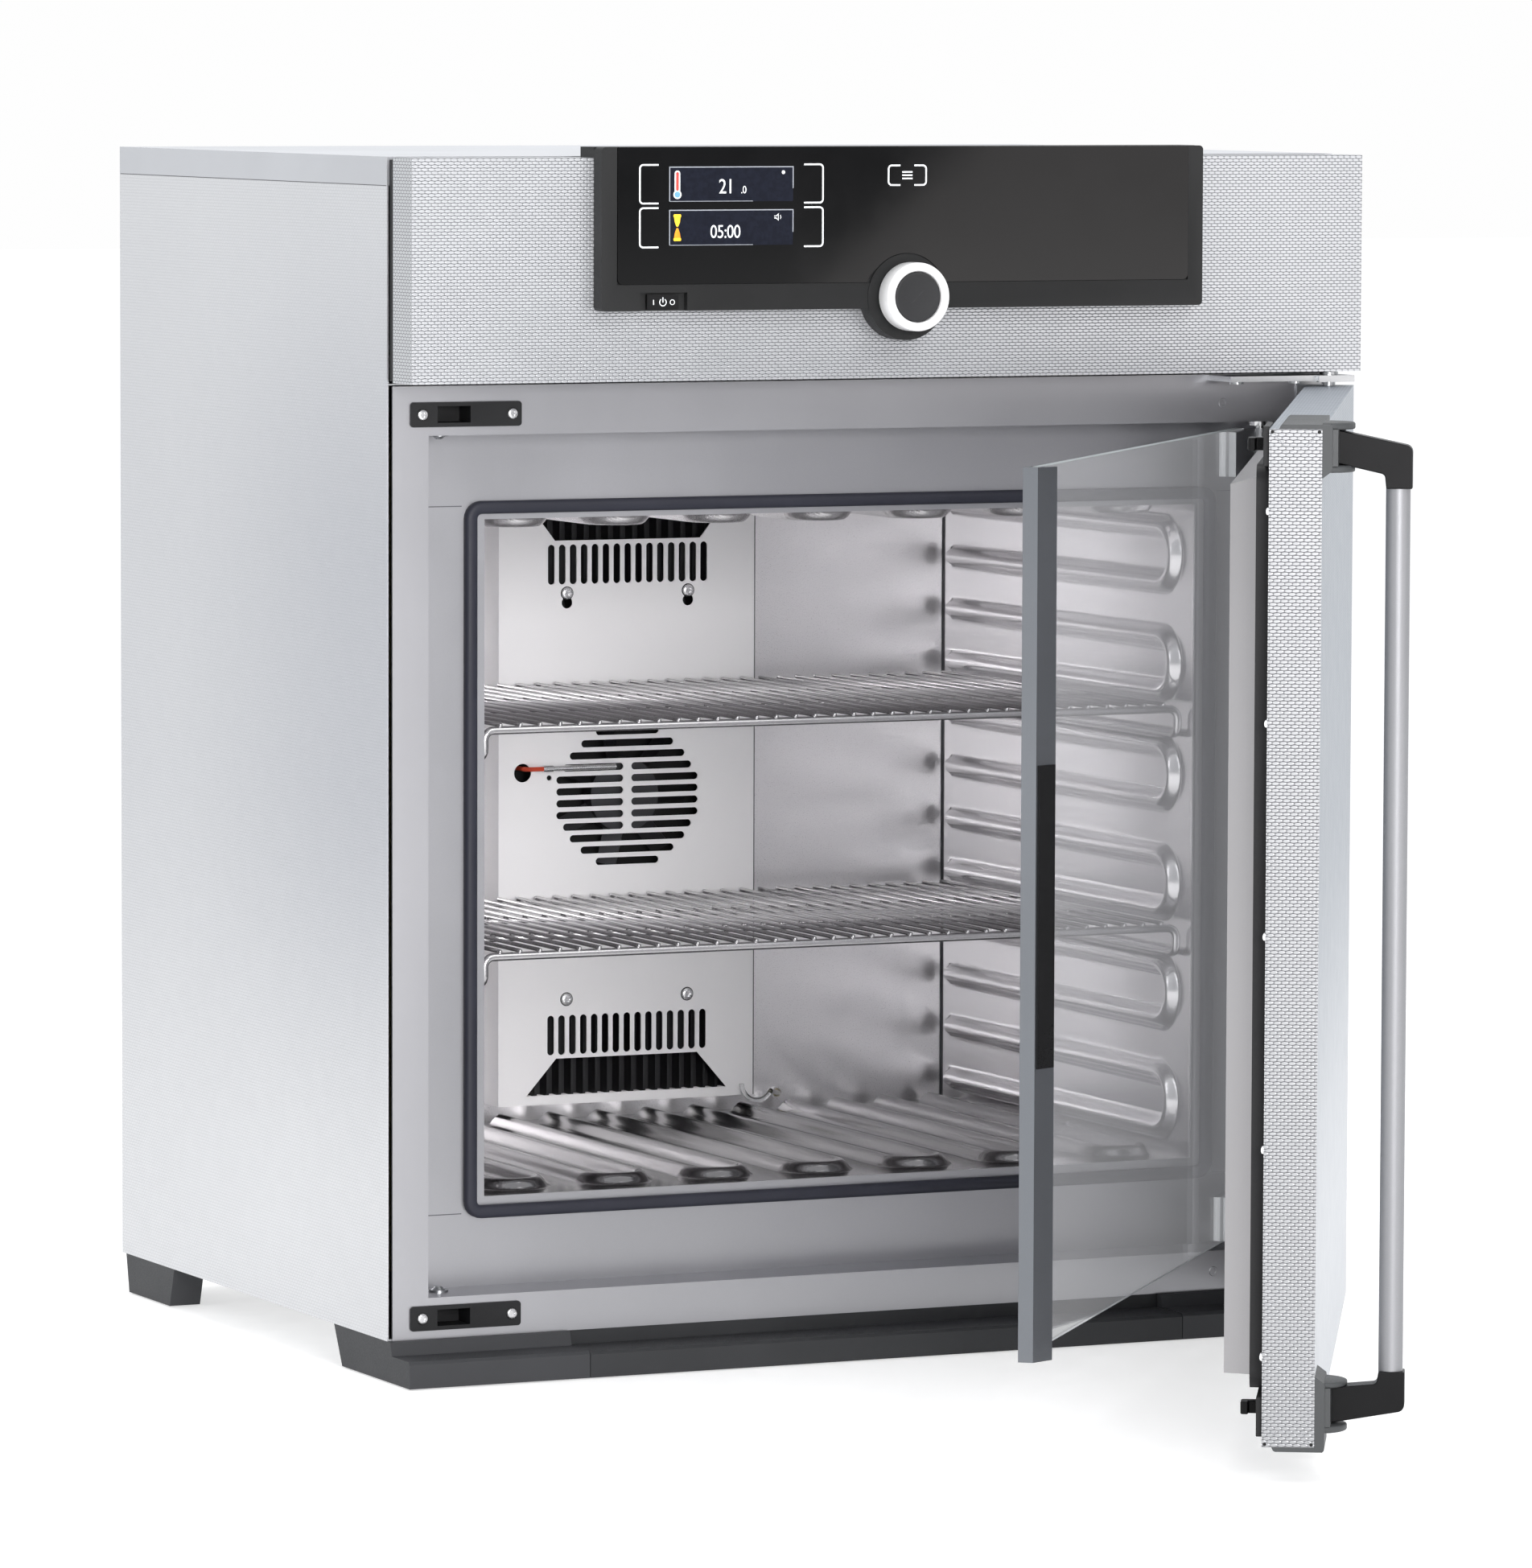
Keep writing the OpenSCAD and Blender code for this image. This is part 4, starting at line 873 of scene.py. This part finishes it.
# a dark strip along the duct plate's right edge: painted shadow of the plate, which stands off the rear wall
joints_and_shadow.box((DUCT_HALF - 0.8, DUCT_Y - 0.12, 107), (DUCT_HALF, DUCT_Y + 1, 563))
joints_and_shadow.box((CH_HALF - 1.1, CH_REAR - 1.1, CH_FLOOR), (CH_HALF, CH_REAR, CH_TOP))
for side in (-1, 1):
    joints_and_shadow.box((side * (CAB_HALF - 0.1), 1.5, CAB_SHOULDER - 0.3),
              (side * (CAB_HALF + 0.05), CAB_REAR - 1.5, CAB_SHOULDER + 0.3))
joints_and_shadow.done("joint_and_shadow_lines", "cabinet", "frame_steel", DARK_JOINT_AND_SHADE)

# ---------------------------------------------------------------- ground edges of the glass door's pane

ground = Shape(GDOOR)
for z in (39.35, 629.0):
    ground.box((-319.8, 31.6, z), (300, 37.4, z + 0.25))
ground.box((300, 31.6, 73), (300.25, 37.4, 595))
ground.done("pane_ground_edges", "glass_door", "glass", moulded("ground_glass", (0.30, 0.33, 0.335), 0.34, shine=0.5))

# ---------------------------------------------------------------- outer door details

edge = Shape(DOOR)  # the small holes at the corners of the door's free edge
for y in (-42.0, -11.6):
    for z in (-2.6, 658.7):
        edge.lathe([(0.05, -0.12), (1.15, -0.12), (1.2, 0.1)], (DOOR_EDGE, y, z), "x", 20)
edge.done("door_relief_holes", "outer_door", "door_steel", HOLE)


def edge_line(s, pts):
    """A fine joint line on the door's free edge, along points in Y and Z."""
    width = 0.4
    for a, b in zip(pts, pts[1:]):
        d = (Vector(b) - Vector(a)).normalized() * (width / 2)
        q = [(a[0] - d.y, a[1] + d.x), (b[0] - d.y, b[1] + d.x), (b[0] + d.y, b[1] - d.x), (a[0] + d.y, a[1] - d.x)]
        s.prism(q, "x", DOOR_EDGE - 0.08, DOOR_EDGE + 0.1)


folds = Shape(DOOR)
edge_line(folds, [(-42.2, -3.4), (-34.2, 6.6), (-19.4, 6.6), (-11.4, -3.4)])
edge_line(folds, [(-42.2, 659.4), (-34.2, 649.4), (-19.4, 649.4), (-11.4, 659.4)])
folds.done("door_fold_lines", "outer_door", "door_steel", moulded("fold_shadow", (0.22, 0.225, 0.235), 0.6))

clips = Shape(DOOR)  # the clips that hold the skin to the inner panel
for z in (607, 469, 330, 190.5, 54.5):
    clips.prism([(DOOR_BACK, z - 2.4), (-8.2, z - 2.0), (-7.8, z - 0.8), (-7.8, z + 0.8), (-8.2, z + 2.0),
                 (DOOR_BACK, z + 2.4)], "x", -370.6, -364)
clips.done("door_clips", "outer_door", "door_steel", moulded("white_clip", (0.78, 0.79, 0.80), 0.5), bevel=0.3)


def heights(low):
    """A function from a height on a lower fitting to the height on that fitting or on its upper twin."""
    return (lambda z: z) if low else (lambda z: LATCH_TWIN - z)


# bars round the slot that the latch hook comes through: x from and to, height from and to
guide_bars = ((-366, -340, 1.5, 27.5), (-306, -300, 1.5, 27.5), (-341, -305, 1.5, 5.5), (-341, -305, 23.5, 27.5))
for low in (True, False):
    at = heights(low)
    guide = Shape(DOOR)
    for x0, x1, za, zb in guide_bars:
        z0, z1 = sorted((at(za), at(zb)))
        guide.box((x0, DOOR_BACK, z0), (x1, DOOR_BACK + 4, z1))
    guide.done("latch_guide_" + ("lower" if low else "upper"), "outer_door", "black_plastic", SOFTBLACK, bevel=0.5)

# ---------------------------------------------------------------- handle fittings and arms


def corner(name, node, low):
    """The grey fitting that wraps the door's corner, with the open housing that the arm swivels in."""
    at = heights(low)
    end, top = (-4.5, 42.5) if low else (3.0, 35.0)
    shelves = ((4.0, 8.6), (33.6, 37.4)) if low else ((-1.0, 3.6), (27.0, 31.5))
    wall = at(shelves[0][1] - 0.3), at(shelves[1][0] + 0.3)
    s = Shape(DOOR)
    face = [(-44, end - 3), (-49.2, end - 3), (-50.3, end - 1.8), (-50.5, end - 0.4), (-50.5, top - 7),
            (-50.0, top - 4.5), (-44, top)]
    s.prism([(p[0], at(p[1])) for p in face], "x", DOOR_EDGE - 0.3, -317)
    lip = [(-44.2, end - 3), (-18.4, end - 3), (-17, end - 2.2), (-16.0, end), (-44.2, end)]
    s.prism([(p[0], at(p[1])) for p in lip], "x", DOOR_EDGE - 0.3, -221.3)

    def slab(levels):
        """A half-round shelf of the housing, from (height, radius) pairs."""
        rings = []
        n = 28
        for z, r in levels:
            ring = []
            for i in range(n + 1):
                a = math.pi + math.pi * i / n
                ring.append((ARM_X + r * math.cos(a), -44 + r * math.sin(a) * 0.98, at(z)))
            rings.append(ring + [(ARM_X + r, -43.9, at(z)), (ARM_X - r, -43.9, at(z))])
        s.rings(rings)
    for a, b in shelves:
        slab([(a, 19.6), (a + 0.4, 20.5), (a + 1.2, 21.0), (b - 1.0, 21.0), (b - 0.3, 20.6), (b, 19.8)])
    s.prism([(-365.4, -50), (-364.6, -54.0), (-356.5, -54.4), (-355.5, -50)], "z", *wall)
    s.prism([(-329, -50), (-329, -58.0), (-326.0, -52.8), (-324.6, -50)], "z", *wall)
    return s.done(name, "outer_door", "grey_plastic", GREY, (node,), bevel=0.8, angle=40)


corner("corner_fitting_lower", "handle_corner_lower", True)
corner("corner_fitting_upper", "handle_corner_upper", False)


def arm(name, node, low):
    """The swept arm: flat sides, round edges, a swollen root in the housing and a rounded elbow at the tube."""
    at = heights(low)
    s = Shape(DOOR)
    if low:
        bend, inner = [(-102, 43.8), (-102, 18.0), (-54, 9.6)], [(-54, 33.0), (-83.6, 35.7), (-85.0, 43.8)]
        root = [(-46, 9.2, 0), (-46, 33.0, 0)]
    else:
        bend, inner = [(-102, 42.1), (-102, 14.4), (-54, 4.2)], [(-54, 26.0), (-84.0, 32.8), (-85.0, 42.1)]
        root = [(-46, 4.2, 0), (-46, 26.0, 0)]
    outline = fillet([(y, z, 0) for y, z in bend], 5.0, 8)
    tail = fillet([(y, z, 0) for y, z in inner], 3.0, 4)
    pts = [(p[0], at(p[1])) for p in outline + root + tail]
    s.prism(pts, "x", -353.8, -336.2)
    hook = [(-343, -34), (-335, -40), (-316, -16), (-316, 4.8), (-317.2, 6), (-328.3, 6), (-329.5, 4.8),
            (-329.5, 0.9), (-324, 0.9), (-324, -12)]
    s.prism(hook, "z", at(10.5), at(19.0))
    s.lathe([(11, at(5.2)), (11, at(29.2))], (ARM_X, -44, 0), "z", 32)
    return s.done(name, "handle", "black_plastic", BLACK, (node,), bevel=2.0, segments=4, angle=50)


arm("swept_arm_lower", "handle_arm_lower", True)
arm("swept_arm_upper", "handle_arm_upper", False)

# ---------------------------------------------------------------- floor

pale = Mat("studio_floor")
paper = pale.noise(40, 3, 0.5)
tone = pale.mix(pale.range(paper, 0.3, 0.7, 0, 1), (0.58, 0.58, 0.58), (0.60, 0.60, 0.60))
pale.p(Base_Color=tone, Roughness=0.9, Specular_IOR_Level=0.0, Emission_Color=tone, Emission_Strength=0.95)
floor_mesh = bpy.data.meshes.new("studio_floor")
floor_half, floor_z = 30, -0.001  # metres
corners = ((-1, -1), (1, -1), (1, 1), (-1, 1))
floor_mesh.from_pydata([(x * floor_half, y * floor_half, floor_z) for x, y in corners], [], [(0, 1, 2, 3)])
floor_mesh.materials.append(pale.m)
studio_floor = bpy.data.objects.new("studio_floor", floor_mesh)
scene.collection.objects.link(studio_floor)
